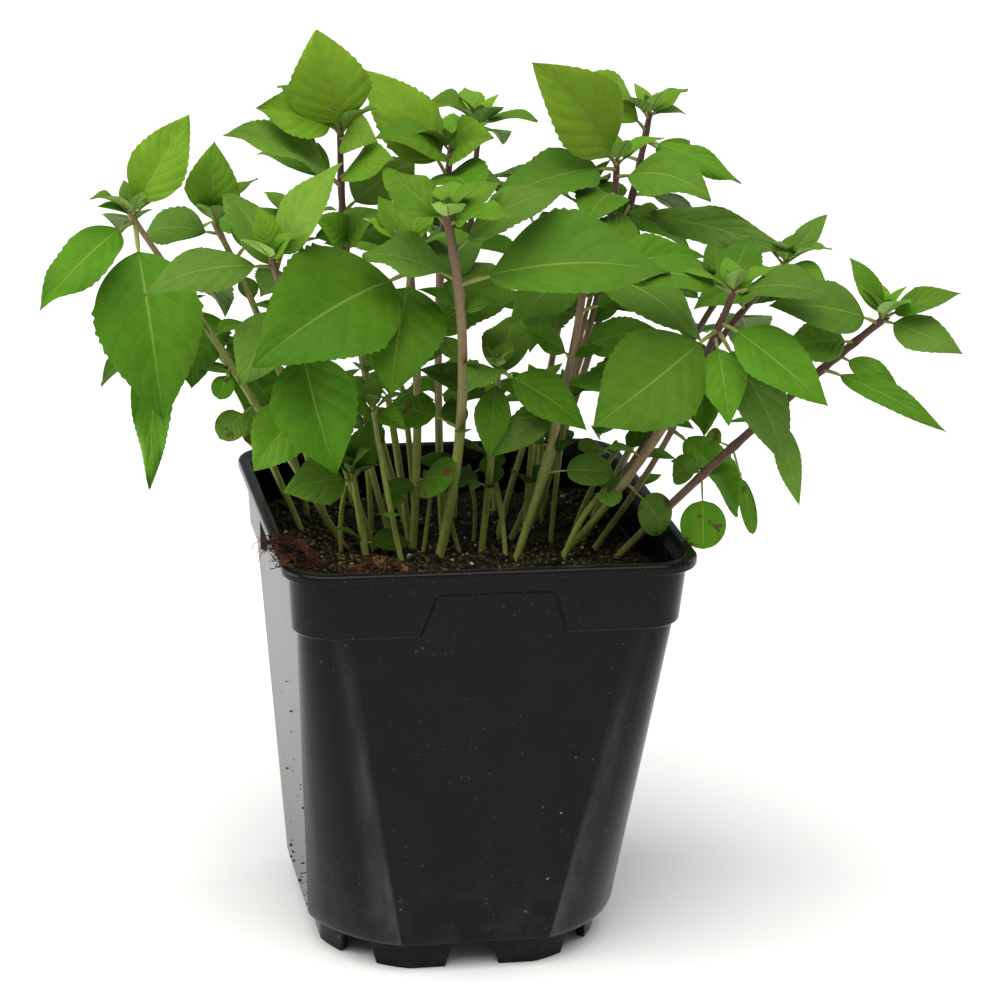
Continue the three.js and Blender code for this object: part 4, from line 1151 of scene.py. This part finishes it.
class BASIL_OT_tuft(bpy.types.Operator):
    """Mat loose fibres along the front left edge of the soil and over the lip"""

    bl_idname = "basil.tuft"
    bl_label = "Fibre tuft"

    def execute(self, context):
        count = context.scene.basil_soil.fibres
        draw = random.Random(TUFT_SEED)
        noise.seed_set(SWING_SEED)
        shapes = [
            (self.mat, 0.13, 0), (self.clump, 0.22, 0), (self.hang, 0.004, 0),
            (self.lump, 0.24, 0), (self.clot, 0.13, 0), (self.mound, 0.28, 1), (self.clod, 0.24, 1)]
        whole = bmesh.new()
        for make, share, tan in shapes:
            part = heap(round(share * count), lambda bm: make(bm, draw))
            for face in part.faces:
                face.material_index = tan
            gather(whole, part)
        piece = finish_piece(whole, "tuft_fibres", [
            fibre_material("coir", COIR), fibre_material("tan_fibre", TAN_FIBRE)], 40)
        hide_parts("fibre_tuft")
        return {"FINISHED"}

    def lay(self, bm, draw, spot, length, curl, rise=0.5):
        """A curled fibre with its middle at a spot, laid over the soil and the lip."""
        heading = direction(any_turn(draw), 0)
        heading.z = rise * draw.random()
        heading.normalize()
        line = curly(draw, spot - heading * (length / 2), heading, length, curl)
        thick = 0.08 + 0.12 * draw.random()
        self.strand(bm, lambda share: settle(line(share), thick), thick, 9)

    def strand(self, bm, line, thick, steps):
        """A fibre along a line, thinner towards its end."""
        tube(bm, line, lambda share, angle: thick * MM * (1 - 0.6 * share), 4, steps)

    def mat(self, bm, draw):
        """A fibre of the loose mat along the edge of the soil."""
        spot = bezier(tuft_line(), draw.random())
        spot += Vector((draw.gauss(0, 1.7), draw.gauss(0, 1.7), 0.9 * draw.random()))
        self.lay(bm, draw, spot, 3 + 6 * draw.random(), 2.4)

    def clump(self, bm, draw):
        """A fibre of the tangle that lies over the lip near the front left corner."""
        self.lay(bm, draw, self.over_lip(draw), 2.5 + 4 * draw.random(), 2.8, 0.2)

    def over_lip(self, draw):
        """A spot in the tangle, which is thickest in its middle."""
        across = draw.random()
        along = draw.gauss(0, 1)
        height = 2.6 * math.exp(-0.5 * along * along) * draw.random() - 1.5 * across
        return Vector((STRAND_OVER[0] + 3.2 + 9 * across, -36 + 5 * along,
                       POT_HEIGHT + 0.3 + height))

    def lump(self, bm, draw):
        """A crumb of peat and broken fibre that is caught in the tangle."""
        spot = self.over_lip(draw)
        size = 0.25 + 0.6 * draw.random() ** 2
        add_crumb(bm, draw, settle(spot, 0.3 * size) / MM, size, 0.6)

    def on_front(self, draw, middle, top):
        """A spot in a heap on the front edge of the soil."""
        along = draw.gauss(0, 1)
        spot = Vector((middle + 6 * along, -46.5 + draw.gauss(0, 1.5), 0))
        height = top * math.exp(-0.3 * along * along) * draw.random()
        spot.z = SOIL_TOP + relief(spot.x, spot.y) + height
        return spot

    def mound(self, bm, draw):
        """A short fibre of the tan heap."""
        self.lay(bm, draw, self.on_front(draw, *TAN_HEAP), 2 + 2.5 * draw.random(), 1.7)

    def clod(self, bm, draw):
        """A crumb of the tan heap."""
        size = 0.25 + 0.6 * draw.random() ** 2
        spot = self.on_front(draw, *TAN_HEAP)
        add_crumb(bm, draw, settle(spot, 0.3 * size) / MM, size, 0.6)

    def clot(self, bm, draw):
        """A fibre of the flatter dark heap beside it."""
        self.lay(bm, draw, self.on_front(draw, *DARK_HEAP), 3 + 4 * draw.random(), 2.4)

    def hang(self, bm, draw):
        """A strand that climbs the inside of the left wall and hangs over its lip."""
        root = bezier(tuft_line(), 0.3 + 0.3 * draw.random())
        sway = 14 * (draw.random() - 0.5)
        top = 0.6 + 1.4 * draw.random()
        over = root.y + sway
        knots = [root, Vector((STRAND_UP[0], root.y, STRAND_UP[1] - 3)),
                 Vector((STRAND_OVER[0], over, STRAND_OVER[1] - 3.4 + top)),
                 Vector((STRAND_DOWN[0] - 2.5 * draw.random(), over + 0.4 * sway,
                         STRAND_DOWN[1] + 8 - 5 * draw.random()))]
        seed = 90 * draw.random()
        thick = 0.14 + 0.12 * draw.random()

        def line(share):
            swing = noise.noise_vector(Vector((seed, 5 * share, 2.3)))
            swing *= 1.9 * share * (1.6 - share)
            swing = Vector((min(swing.x, 0.3), 1.8 * swing.y, abs(swing.z)))
            return settle(bezier(knots, share) + swing, thick)

        self.strand(bm, line, thick, 16)


# Shoots

def rule_random(seed):
    """The repeatable numbers from 0 to 1 that the pairs of leaves are drawn with."""
    state = seed
    while True:
        state = state * 16807 % 2147483647
        yield state / 2147483647


def stem_points(foot, bend, top):
    """The three points of a stem's line: its root lies below the foot, in line with the bend."""
    foot = Vector((*foot, SOIL_TOP))
    bend = Vector(bend)
    slope = (bend - foot) * (ROOT_DEPTH / (bend.z - foot.z))
    return [foot - slope, bend, Vector(top)]


def pairs_of_leaves(points, seed, heading):
    """The leaves of a shoot that follows the rule: each pair stands across the last one."""
    draw = rule_random(seed)
    leaves = []
    for order, (place, reach, lean) in enumerate(PAIRS):
        node = bezier(points, place)
        for side in range(2):
            turn = math.radians(
                heading + 90 * order + 180 * side + RULE_TURN * (next(draw) - 0.5))
            pitch = math.radians(lean + RULE_LEAN * (next(draw) - 0.5))
            length = reach * (0.85 + 0.3 * next(draw))
            tip = node + length * direction(turn, pitch)
            width = 0.5 + 0.12 * next(draw)
            leaves.append((place, *tip, width, 0.5 * next(draw) - 0.1))
    return leaves


class Leaf:
    """One leaf's line and directions, in millimetres, after it is swung, lifted and sized."""

    def __init__(self, base, tip, width, face, turn=(0, 0, 1)):
        swing, lift, size = turn
        reach = tip - base
        self.base = base
        self.length = reach.length * size
        self.width = width
        heading = math.atan2(reach.y, reach.x) + math.radians(swing)
        pitch = math.asin(reach.z / reach.length) + math.radians(lift)
        self.forward = direction(heading, pitch)
        normal = UP * (1.001 - abs(face)) + FRONT * face
        self.normal = (normal - self.forward * normal.dot(self.forward)).normalized()
        self.side = self.forward.cross(self.normal)

    def point(self, along, across, lift=0.0):
        """A point of the arched and folded blade. Along is a share of the leaf's length."""
        rise = 4 * ARCH * self.length * along * (1 - along) + FOLD * math.hypot(across, 0.35) + lift
        return (self.base + self.forward * (along * self.length) + self.side * across
                + self.normal * rise)

    def tip_corners(self):
        """The four corners of the plain blade's tip."""
        end = self.base + self.forward * self.length
        return [end + self.side * across + self.normal * (FOLD * TIP_HALF + thick)
                for across in (-TIP_HALF, TIP_HALF) for thick in (-BLADE / 2, BLADE / 2)]


def find_turn(tree, base, leaf):
    """The turn in which the frame holds a leaf, or None where it has no such leaf."""
    _, x, y, z, width, face = leaf
    for size in SIZES:
        for swing in SWINGS:
            for lift in LIFTS:
                turned = Leaf(base, Vector((x, y, z)), width, face, (swing, lift, size))
                corners = turned.tip_corners()
                if all(tree.find(corners[k] * MM)[2] > 0.02 * MM for k in (0, 3)):
                    continue
                if sum(tree.find(corner * MM)[2] < 0.02 * MM for corner in corners) >= 2:
                    return turned
    return None


def blade_shape(share, widest):
    """How wide a leaf is along its blade, from 0 at both ends to 1 where it is widest."""
    power = math.log(0.5) / math.log(widest)
    return math.sin(math.pi * min(max(share, 0), 1) ** power) ** 0.9


def tooth(share, count):
    """The fine saw edge of a margin: it swells forward and drops back at each notch."""
    if share < 0.3 or share > 0.96:
        return 0.0
    part = (share - 0.3) / 0.66 * count
    part -= math.floor(part)
    return part if part < 0.75 else (1 - part) * 3


def leaf_mesh():
    """An empty bmesh with the map and attributes that the leaf and stem materials read."""
    bm = bmesh.new()
    bm.loops.layers.uv.new("blade")
    bm.faces.layers.float.new("under")
    bm.faces.layers.float.new("tone")
    bm.faces.layers.float_vector.new("growth")
    bm.faces.layers.float_vector.new("painted_light")
    return bm


def fit_in_box(base, away):
    """The step from a stem to a leaf's tip, cut short where it would leave the object's box."""
    while away.length > 3:
        margin = 0.3 * away.length
        tip = base + away
        if all(cad_box[0][axis] / MM + margin < tip[axis] < cad_box[1][axis] / MM - margin
               for axis in (0, 1)):
            return away
        away = 0.8 * away
    return away


class Blade:
    """The form of one leaf's blade: its outline, teeth, folds and waves."""

    def __init__(self, leaf, draw, youth):
        self.leaf = leaf
        self.youth = youth
        self.seedling = youth < 0
        self.small = leaf.length < SHORT_LENGTH
        plain = self.seedling or self.small
        self.start = SEED_STALK if self.seedling else STALK_SHARE
        self.teeth = 0 if plain else round(4 + leaf.length / 8 + 2 * draw.random())
        self.depth = 0.075 + 0.05 * draw.random()
        self.widest = 0.5 if self.seedling else 0.37 + 0.06 * draw.random()
        self.twist = 0 if plain else math.radians(draw.gauss(0, 12))
        self.wave = 0 if plain else 0.045 * leaf.length * draw.random()
        self.waves = 1.0 + draw.random()
        self.phase = any_turn(draw)
        self.droop = 0 if plain else 0.06 * leaf.length * draw.random()
        self.crease = draw.gauss(0.06, 0.11)
        self.bend = 0 if plain else 0.035 * leaf.length * draw.gauss(0, 1)

    def half(self, share):
        """Half the blade's width at a share of its length."""
        full = 0.5 * self.leaf.width * self.leaf.length
        if self.seedling:
            return max(full * math.sqrt(max(1 - (2 * share - 1) ** 2, 0)) * 1.05, 0.2)
        slim = 1 - 0.25 * max(share - 0.7, 0)
        return max(full * slim * blade_shape(share, self.widest), 0.3 - 0.18 * share)

    def form(self, u, share):
        """Where u across (0 to 1) and share along lie: along, across and lift in the leaf."""
        leaf = self.leaf
        offset = 2 * u - 1
        reach = abs(offset) ** 1.2
        spot = share + 0.22 * reach * share * (1 - share)
        across = math.copysign(reach, offset) * self.half(spot)
        if self.teeth and reach > 0.99:
            out = tooth(share + (0.04 if offset > 0 else 0), self.teeth)
            across *= 1 + self.depth * (out - 0.3)
        middle = 4 * spot * (1 - spot)
        pucker = math.sin(math.pi * (spot - 0.3 * reach) * 5.5) ** 2
        lift = 0.012 * leaf.length * pucker * reach * (1 - reach ** 4) * middle
        lift += self.wave * reach ** 3 * math.sin(
            2 * math.pi * self.waves * share + self.phase + 1.3 * (offset > 0))
        lift -= self.droop * max(share - 0.5, 0) ** 2 / 0.25
        lift += abs(across) * (self.crease - 0.12 * reach)
        turned = self.twist * (share - 0.3)
        lift += across * math.sin(turned)
        along = self.start + (1 - self.start) * spot
        return along, across * math.cos(turned) + self.bend * middle * 0.5, lift

    def painted_light(self):
        """How the leaf's colour is painted lighter or darker by where it stands in the plant: open
        from hidden in the middle (painted shade) to the outside, a painted glow of light shining
        through it at the top, and whether it is a low outer leaf, which is painted lighter."""
        leaf = self.leaf
        middle = leaf.base + 0.6 * leaf.length * leaf.forward
        upright = 1 - abs(leaf.normal.z)
        painted_glow = min(max((middle.z - 204) / 30, 0), 1) * min(1.5 * upright, 1)
        outward = (math.hypot(middle.x / 60, middle.y / 45) - 0.4) / 0.5
        # Openness sets the painted shade: leaves low in the middle of the plant are darkened.
        open_to_light = max((middle.z - 135) / 45, outward)
        low = min(max((175 - middle.z) / 25, 0), 1)
        return Vector((min(max(open_to_light, 0), 1), painted_glow, low * min(max(outward, 0), 1)))

    def rib(self, share):
        """Where the rib runs at a share of the whole leaf: along, across and lift."""
        if share <= self.start:
            return share, 0.0, 0.0
        return self.form(0.5, (share - self.start) / (1 - self.start))


def grow_blade(whole, blade, settings, draw):
    """A thin closed blade: its upper face runs across from 0 to 1 and its lower face back."""
    leaf = blade.leaf
    large = leaf.length > LONG_LENGTH
    columns = settings.columns if large else settings.columns - 4
    rows = settings.rows if large else settings.rows // 2
    if blade.small:
        columns, rows = 6, 10
    thick = settings.thickness / MM * (0.7 if blade.small else 1)
    ceiling = cad_box[1].z - 0.1 * MM

    def place(turn, share):
        upper = turn <= 0.5
        u = 2 * turn if upper else 2 - 2 * turn
        along, across, lift = blade.form(u, share)
        lift += (0.5 if upper else -0.5) * thick * (1 - abs(2 * u - 1) ** 6)
        point = leaf.point(along, across, lift) * MM
        point.z = min(point.z, ceiling)
        return point

    bm = leaf_mesh()
    faces = close_tube(bm, sheet(bm, 2 * columns, rows, place))
    faces = bmesh.ops.triangulate(bm, faces=faces, quad_method="SHORT_EDGE")["faces"]
    layer = bm.loops.layers.uv["blade"]
    under = bm.faces.layers.float["under"]
    growth = bm.faces.layers.float_vector["growth"]
    painted_light = bm.faces.layers.float_vector["painted_light"]
    mark = Vector((draw.random(), max(blade.youth, 0), 1.0 if blade.seedling else 0.0))
    # The leaf's painted light and shade, which the tissue material reads.
    light_and_shade = blade.painted_light()
    for face in faces:
        face[growth] = mark
        face[painted_light] = light_and_shade
        lower = sum(loop[layer].uv.x for loop in face.loops) / len(face.loops) > 0.5
        face[under] = float(lower)
        face.material_index = 0
        for loop in face.loops:
            turn = loop[layer].uv.x
            loop[layer].uv.x = 2 - 2 * turn if lower else 2 * turn
    gather(whole, bm)


def grow_rib(whole, blade, blush):
    """The leaf's stalk, which runs on as a fine rib under the blade."""
    leaf = blade.leaf
    stalk = 0.36 + 0.006 * leaf.length
    if blade.small or blade.seedling:
        stalk = 0.3

    def size(share):
        if share < blade.start:
            return stalk * (1.1 - 0.2 * share / blade.start)
        return stalk * (0.6 * (1 - share) + 0.06)

    def line(share):
        share *= 0.95
        along, across, lift = blade.rib(share)
        sunk = min(max((share - blade.start + 0.03) / 0.06, 0), 1)
        return leaf.point(along, across, lift - sunk * (0.75 * size(share) + 0.1)) * MM

    sides, steps = (5, 6) if blade.small else (6, 16)
    bm = leaf_mesh()
    faces = tube(bm, line, lambda share, angle: size(0.95 * share) * MM, sides, steps)
    tone = bm.faces.layers.float["tone"]
    for face in faces:
        face.material_index = 1
        away = (face.calc_center_median() / MM - leaf.base).length / leaf.length
        face[tone] = 0.4 * blush * max(1 - 6 * away, 0)
    gather(whole, bm)


def grow_leaf(whole, leaf, youth, blush, settings, draw):
    """One whole leaf: its blade, and its stalk and rib."""
    blade = Blade(leaf, draw, youth)
    grow_blade(whole, blade, settings, draw)
    grow_rib(whole, blade, blush)


def grow_stem(whole, points, girth, joints, draw, blush):
    """A square stem with rounded edges, thicker at the joints where leaves stand."""
    corner = any_turn(draw)
    outer = max(points[2].x, 0)
    start = 122 - 0.2 * outer + 8 * draw.random()
    climb = 100 - 0.5 * outer

    def line(share):
        return bezier(points, share) * MM

    def radius(share, angle):
        swell = max(0.24 * math.exp(-((share - joint) / 0.01) ** 2) for joint in joints)
        square = 1 + 0.07 * math.cos(4 * (angle + corner))
        taper = 0.62 + 0.36 * share - 0.42 * share * share
        return 0.5 * girth * MM * taper * square * (1 + swell)

    bm = leaf_mesh()
    faces = tube(bm, line, radius, 12, 40)
    tone = bm.faces.layers.float["tone"]
    for face in faces:
        rise = face.calc_center_median().z / MM - start
        face.material_index = 1
        face[tone] = blush * min(max(rise / climb, 0), 1)
    gather(whole, bm)


def grow_hairs(whole, points, girth, count, draw):
    """Short soft hairs that stand out from the upper two thirds of a stem."""
    bm = leaf_mesh()
    for _ in range(count):
        share = 0.35 + 0.64 * draw.random()
        ahead = (bezier(points, min(share + 0.02, 1)) - bezier(points, share - 0.02)).normalized()
        turn = Matrix.Rotation(any_turn(draw), 3, ahead)
        away = turn @ ahead.orthogonal().normalized() + 0.5 * (draw.random() - 0.3) * ahead
        length = 0.5 + 0.5 * draw.random()
        start = bezier(points, share) + away * (0.3 * girth)
        upright = away.to_track_quat("Z", "Y").to_matrix().to_4x4()
        place = Matrix.Translation((start + away * (length / 2)) * MM) @ upright
        bmesh.ops.create_cone(bm, segments=3, radius1=0.035 * MM, radius2=0.008 * MM,
                              depth=length * MM, cap_ends=True, matrix=place)
    tone = bm.faces.layers.float["tone"]
    for face in bm.faces:
        face.material_index = 1
        face[tone] = 0.1
    gather(whole, bm)


def tissue_material(settings):
    """Leaf tissue: green above with paler veins, greyer below, spotted on the seed leaves, with
    painted shade in the middle of the plant and painted light on high, low outer and young leaves.
    """
    material, nodes, where = new_material("leaf_tissue")
    blade = nodes.add("UVMap", uv_map="blade").outputs[0]
    variety, youth, seed_leaf = nodes.split(nodes.attribute("growth", "Vector"))
    painted_shade_openness, painted_glow, low = nodes.split(nodes.attribute("painted_light", "Vector"))
    under = nodes.attribute("under")
    midrib, side_veins, puckers = nodes.group("Veins", {"Blade": blade, "Count": 6.5, "Sweep": 0.3})
    green = nodes.mix(youth, colour4(settings.green), colour4(settings.young))
    yellow = nodes.smooth(nodes.noise(where, 28.0), 0.35, 0.7)
    green = nodes.stain(green, yellow, 0.28, YELLOW_GREEN)
    dull = nodes.math("FRACT", nodes.line(variety, 7.0, 0.45))
    green = nodes.mix(nodes.smooth(dull, 0.3, 1.0, 0.0, 0.5), green, colour4(DULL_GREEN))
    # Painted glow: high upright leaves are lightened towards a sunlit green, as if light shone
    # through them.
    green = nodes.stain(green, painted_glow, 0.8, SUNLIT_GREEN)
    mottled = nodes.mottle(where, green, 320.0, 0.22)
    upper = nodes.stain(mottled[0], midrib, 0.8, MIDRIB)
    upper = nodes.stain(upper, side_veins, 0.16, SIDE_VEINS)
    colour = nodes.mix(under, upper, nodes.mix(0.6, upper, colour4(UNDERSIDE)))
    # A random tone times painted shade and light: leaves hidden in the middle are darkened; low
    # outer leaves and the undersides of young leaves are lightened.
    tone_and_painted_light = nodes.times(nodes.line(variety, 0.36, 0.84),
                       nodes.smooth(painted_shade_openness, 0.0, 1.0, 0.60, 1.02))
    tone_and_painted_light = nodes.times(tone_and_painted_light, nodes.line(low, 0.22, 1.0))
    tone_and_painted_light = nodes.times(tone_and_painted_light, nodes.line(nodes.times(youth, under), 0.9, 1.0))
    colour = nodes.mix(1.0, colour, nodes.grey(tone_and_painted_light), "MULTIPLY")
    rust = nodes.times(nodes.smooth(nodes.noise(where, 250.0), 0.60, 0.66), seed_leaf)
    colour = nodes.stain(colour, rust, 0.8, RUST)
    relief = nodes.line(under, nodes.times(puckers, -2.0), puckers)
    nodes.finish(colour, nodes.line(mottled[1], 0.2, 0.42), 0.06, (relief, 0.4, 0.0005))
    return material


def stem_material(settings):
    """Stem skin: pale green that blushes to purple brown, with fine streaks."""
    material, nodes, where = new_material("stem_skin")
    tone = nodes.attribute("tone")
    streaks = nodes.noise(nodes.drawn_out(where, 0.12), 900.0, 3.0)
    green, pink = (nodes.mix(streaks, *map(colour4, tones)) for tones in (STEM_GREEN, STEM_PINK))
    brown = nodes.mix(streaks, colour4(settings.blush, 0.6), colour4(settings.blush, 1.4))
    skin = nodes.mix(nodes.smooth(tone, 0.05, 0.45), green, pink)
    skin = nodes.mix(nodes.smooth(tone, 0.42, 0.78), skin, brown)
    mottled = nodes.mottle(where, skin, 500.0, 0.3)
    nodes.finish(mottled[0], 0.5, 0.25, (streaks, 0.35, 0.0003))
    return material


class BASIL_OT_shoots(bpy.types.Operator):
    """Grow every shoot: its square stem, toothed leaves, ribs and youngest leaves"""

    bl_idname = "basil.shoots"
    bl_label = "Basil shoots"

    def execute(self, context):
        settings = context.scene.basil_leaf
        materials = [tissue_material(settings), stem_material(settings)]
        for order, shoot in enumerate(SHOOTS):
            self.grow(shoot, settings, materials, random.Random(SHOOT_SEED + order))
        return {"FINISHED"}

    def grow(self, shoot, settings, materials, draw):
        name, foot, bend, top, girth, leaves = shoot
        points = stem_points(foot, bend, top)
        if len(leaves) == 2:
            leaves = pairs_of_leaves(points, *leaves)
        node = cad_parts[name].data
        tree = kdtree.KDTree(len(node.vertices))
        for index, vert in enumerate(node.vertices):
            tree.insert(vert.co, index)
        tree.balance()
        bm = leaf_mesh()
        blush = (0.5 if points[2].x < LEFT_SHOOTS else 1.0) * (0.72 + 0.28 * draw.random())
        joints = sorted({leaf[0] for leaf in leaves})
        grow_stem(bm, points, girth, joints, draw, blush)
        for leaf in leaves:
            grown = find_turn(tree, bezier(points, leaf[0]), leaf)
            if grown is None:
                print("no leaf", name, leaf)
                continue
            seedling = leaf[0] < SEED_PLACE and grown.length < SEED_LENGTH
            youth = -1 if seedling else min(max((30 - grown.length) / 22, 0), 1)
            grow_leaf(bm, grown, youth, 0.2 if seedling else blush, settings, draw)
        self.grow_bud(bm, points, settings, draw)
        self.grow_sprigs(bm, points, settings, draw)
        grow_hairs(bm, points, girth, HAIRS, draw)
        piece = finish_piece(bm, name + "_fine", materials, 60)
        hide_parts(name)

    def grow_bud(self, bm, points, settings, draw):
        """The tuft of youngest leaves at a stem's top, in pairs that stand ever steeper."""
        heading = any_turn(draw)
        grown = 1.0 if points[2].z > TALL_TOP else 0.65
        for order, (reach, pitch) in enumerate(BUD_PAIRS):
            for side in range(2):
                turn = heading + order * math.pi / 2 + side * math.pi + 0.3 * draw.random()
                lean = math.radians(pitch + 10 * draw.random())
                base = bezier(points, 0.98 + 0.005 * order)
                tip = base + fit_in_box(base, grown * reach * direction(turn, lean))
                grow_leaf(bm, Leaf(base, tip, 0.56, 0.0), 1.0, 0.0, settings, draw)

    def grow_sprigs(self, bm, points, settings, draw):
        """Small side leaves in pairs, which open in the crowded middle of the plant."""
        for order in range(3 if points[2].z > TALL_TOP else 1):
            share = 0.42 + 0.14 * order + 0.08 * draw.random()
            base = bezier(points, share)
            heading = math.atan2(-base.y, -base.x) + draw.gauss(0.8, 0.6)
            for side in range(2):
                reach = SPRIG_REACH[side] * (0.75 + 0.5 * draw.random())
                lean = math.radians(draw.gauss(20, 16))
                tip = base + reach * direction(heading + side * math.pi, lean)
                grow_leaf(bm, Leaf(base, tip, 0.52, 0.7 * draw.random()), 0.1, 0.1, settings, draw)


class BASIL_OT_seedlings(bpy.types.Operator):
    """Stand thin pale seedlings with small leaves between the shoots"""

    bl_idname = "basil.seedlings"
    bl_label = "Thin seedlings"

    def execute(self, context):
        settings = context.scene.basil_leaf
        materials = [bpy.data.materials[name] for name in ("leaf_tissue", "stem_skin")]
        draw = random.Random(SEEDLING_SEED)
        bm = leaf_mesh()
        for seedling in SEEDLINGS:
            self.grow(bm, *seedling, settings, draw)
        piece = finish_piece(bm, "thin_seedlings", materials, 60)
        return {"FINISHED"}

    def grow(self, bm, foot, top, girth, reach, settings, draw):
        """A thin stem with a pair of leaves and a smaller pair across it."""
        low = Vector((*foot, SOIL_TOP + relief(*foot) - 3))
        top = Vector(top)
        bend = low.lerp(top, 0.5) + Vector((draw.gauss(0, 2), draw.gauss(0, 2), 4))
        points = [low, bend, top]
        grow_stem(bm, points, girth * 1.5, [0.97], draw, 0.35)
        heading = any_turn(draw)
        for order in range(2):
            for side in range(2):
                turn = heading + order * math.pi / 2 + side * math.pi + draw.gauss(0, 0.2)
                lean = math.radians(draw.gauss(10 + 45 * order, 10))
                length = reach * (1 if order == 0 else 0.5) * (0.85 + 0.3 * draw.random())
                young = reach < 13 and order == 0
                base = bezier(points, 0.96 + 0.03 * order)
                tip = base + length * (1.4 if young else 1) * direction(turn, lean)
                youth = -1 if young else 0.2 + 0.5 * order
                grow_leaf(bm, Leaf(base, tip, 0.5, 0.4), youth, 0.1, settings, draw)


# Stage

class BASIL_OT_stage(bpy.types.Operator):
    """Set the plain pale floor, the soft lights and the camera"""

    bl_idname = "basil.stage"
    bl_label = "Stage"

    def execute(self, context):
        settings = context.scene.basil_stage
        self.lay_floor(settings)
        self.light(context.scene)
        self.aim_camera(context.scene, settings)
        context.scene.view_settings.view_transform = "Standard"
        return {"FINISHED"}

    def lay_floor(self, settings):
        material, nodes, where = new_material("floor")
        mottled = nodes.mottle(where, colour4(settings.floor), 3.0, 0.01)
        nodes.finish(mottled[0], 0.85)
        bm = bmesh.new()
        bmesh.ops.create_grid(bm, x_segments=1, y_segments=1, size=FLOOR_HALF)
        floor = add_object(bm, "floor", [material])

    def light(self, scene):
        world = bpy.data.worlds.new("soft_room")
        world.use_nodes = True
        background = world.node_tree.nodes["Background"]
        background.inputs["Color"].default_value = colour4(ROOM_LIGHT)
        background.inputs["Strength"].default_value = ROOM_STRENGTH
        scene.world = world
        sun = bpy.data.lights.new("soft_key", "SUN")
        sun.energy = SUN_STRENGTH
        sun.angle = math.radians(SUN_SPREAD)
        sun.color = KEY_LIGHT
        key = bpy.data.objects.new("soft_key", sun)
        key.rotation_euler = self.facing(SUN_PLACE)
        scene.collection.objects.link(key)
        for name, spot, size, power in PANELS:
            panel = bpy.data.lights.new(name, "AREA")
            panel.size = size
            panel.energy = power
            panel.color = PANEL_LIGHT
            lamp = bpy.data.objects.new(name, panel)
            lamp.location = spot
            lamp.rotation_euler = self.facing(Vector(spot) - Vector((0, 0, 0.12)))
            scene.collection.objects.link(lamp)

    def facing(self, back):
        """The rotation of a light whose back points this way."""
        return back.to_track_quat("Z", "Y").to_euler()

    def aim_camera(self, scene, settings):
        azimuth, elevation = settings.azimuth, settings.elevation
        back = Vector((math.sin(azimuth) * math.cos(elevation),
                       -math.cos(azimuth) * math.cos(elevation), math.sin(elevation)))
        right = Vector((math.cos(azimuth), math.sin(azimuth), 0))
        up = back.cross(right)
        rolled = math.cos(settings.roll) * right + math.sin(settings.roll) * up
        above = back.cross(rolled)
        data = bpy.data.cameras.new("camera")
        data.lens = settings.lens
        data.sensor_width = 36
        data.clip_start = 0.01
        camera = bpy.data.objects.new("camera", data)
        camera.matrix_world = Matrix.Translation(
            Vector(settings.aim) + back * settings.distance) @ Matrix((
                rolled, above, back)).transposed().to_4x4()
        scene.collection.objects.link(camera)
        scene.camera = camera


class BASIL_PT_panel(bpy.types.Panel):
    """Lists the pieces and what can be changed on them"""

    bl_idname = "BASIL_PT_panel"
    bl_label = "Potted basil"
    bl_space_type = "VIEW_3D"
    bl_region_type = "UI"
    bl_category = "Potted basil"

    def draw(self, context):
        for key, settings in SETTINGS.items():
            box = self.layout.box()
            for name in settings.__annotations__:
                box.prop(getattr(context.scene, key), name)
        for operator in OPERATORS:
            self.layout.operator(operator.bl_idname)


OPERATORS = (BASIL_OT_stage, BASIL_OT_pot, BASIL_OT_soil, BASIL_OT_tuft, BASIL_OT_shoots,
             BASIL_OT_seedlings)


def register():
    for cls in (*SETTINGS.values(), *OPERATORS, BASIL_PT_panel):
        bpy.utils.register_class(cls)
    for key, settings in SETTINGS.items():
        setattr(bpy.types.Scene, key, bpy.props.PointerProperty(type=settings))


def unregister():
    for key in SETTINGS:
        delattr(bpy.types.Scene, key)
    for cls in (BASIL_PT_panel, *reversed(OPERATORS), *reversed(SETTINGS.values())):
        bpy.utils.unregister_class(cls)


def main():
    register()
    bpy.ops.basil.stage()
    bpy.ops.basil.pot()
    bpy.ops.basil.soil()
    bpy.ops.basil.tuft()
    bpy.ops.basil.shoots()
    bpy.ops.basil.seedlings()
    bpy.context.view_layer.update()


if __name__ == "__main__":
    main()
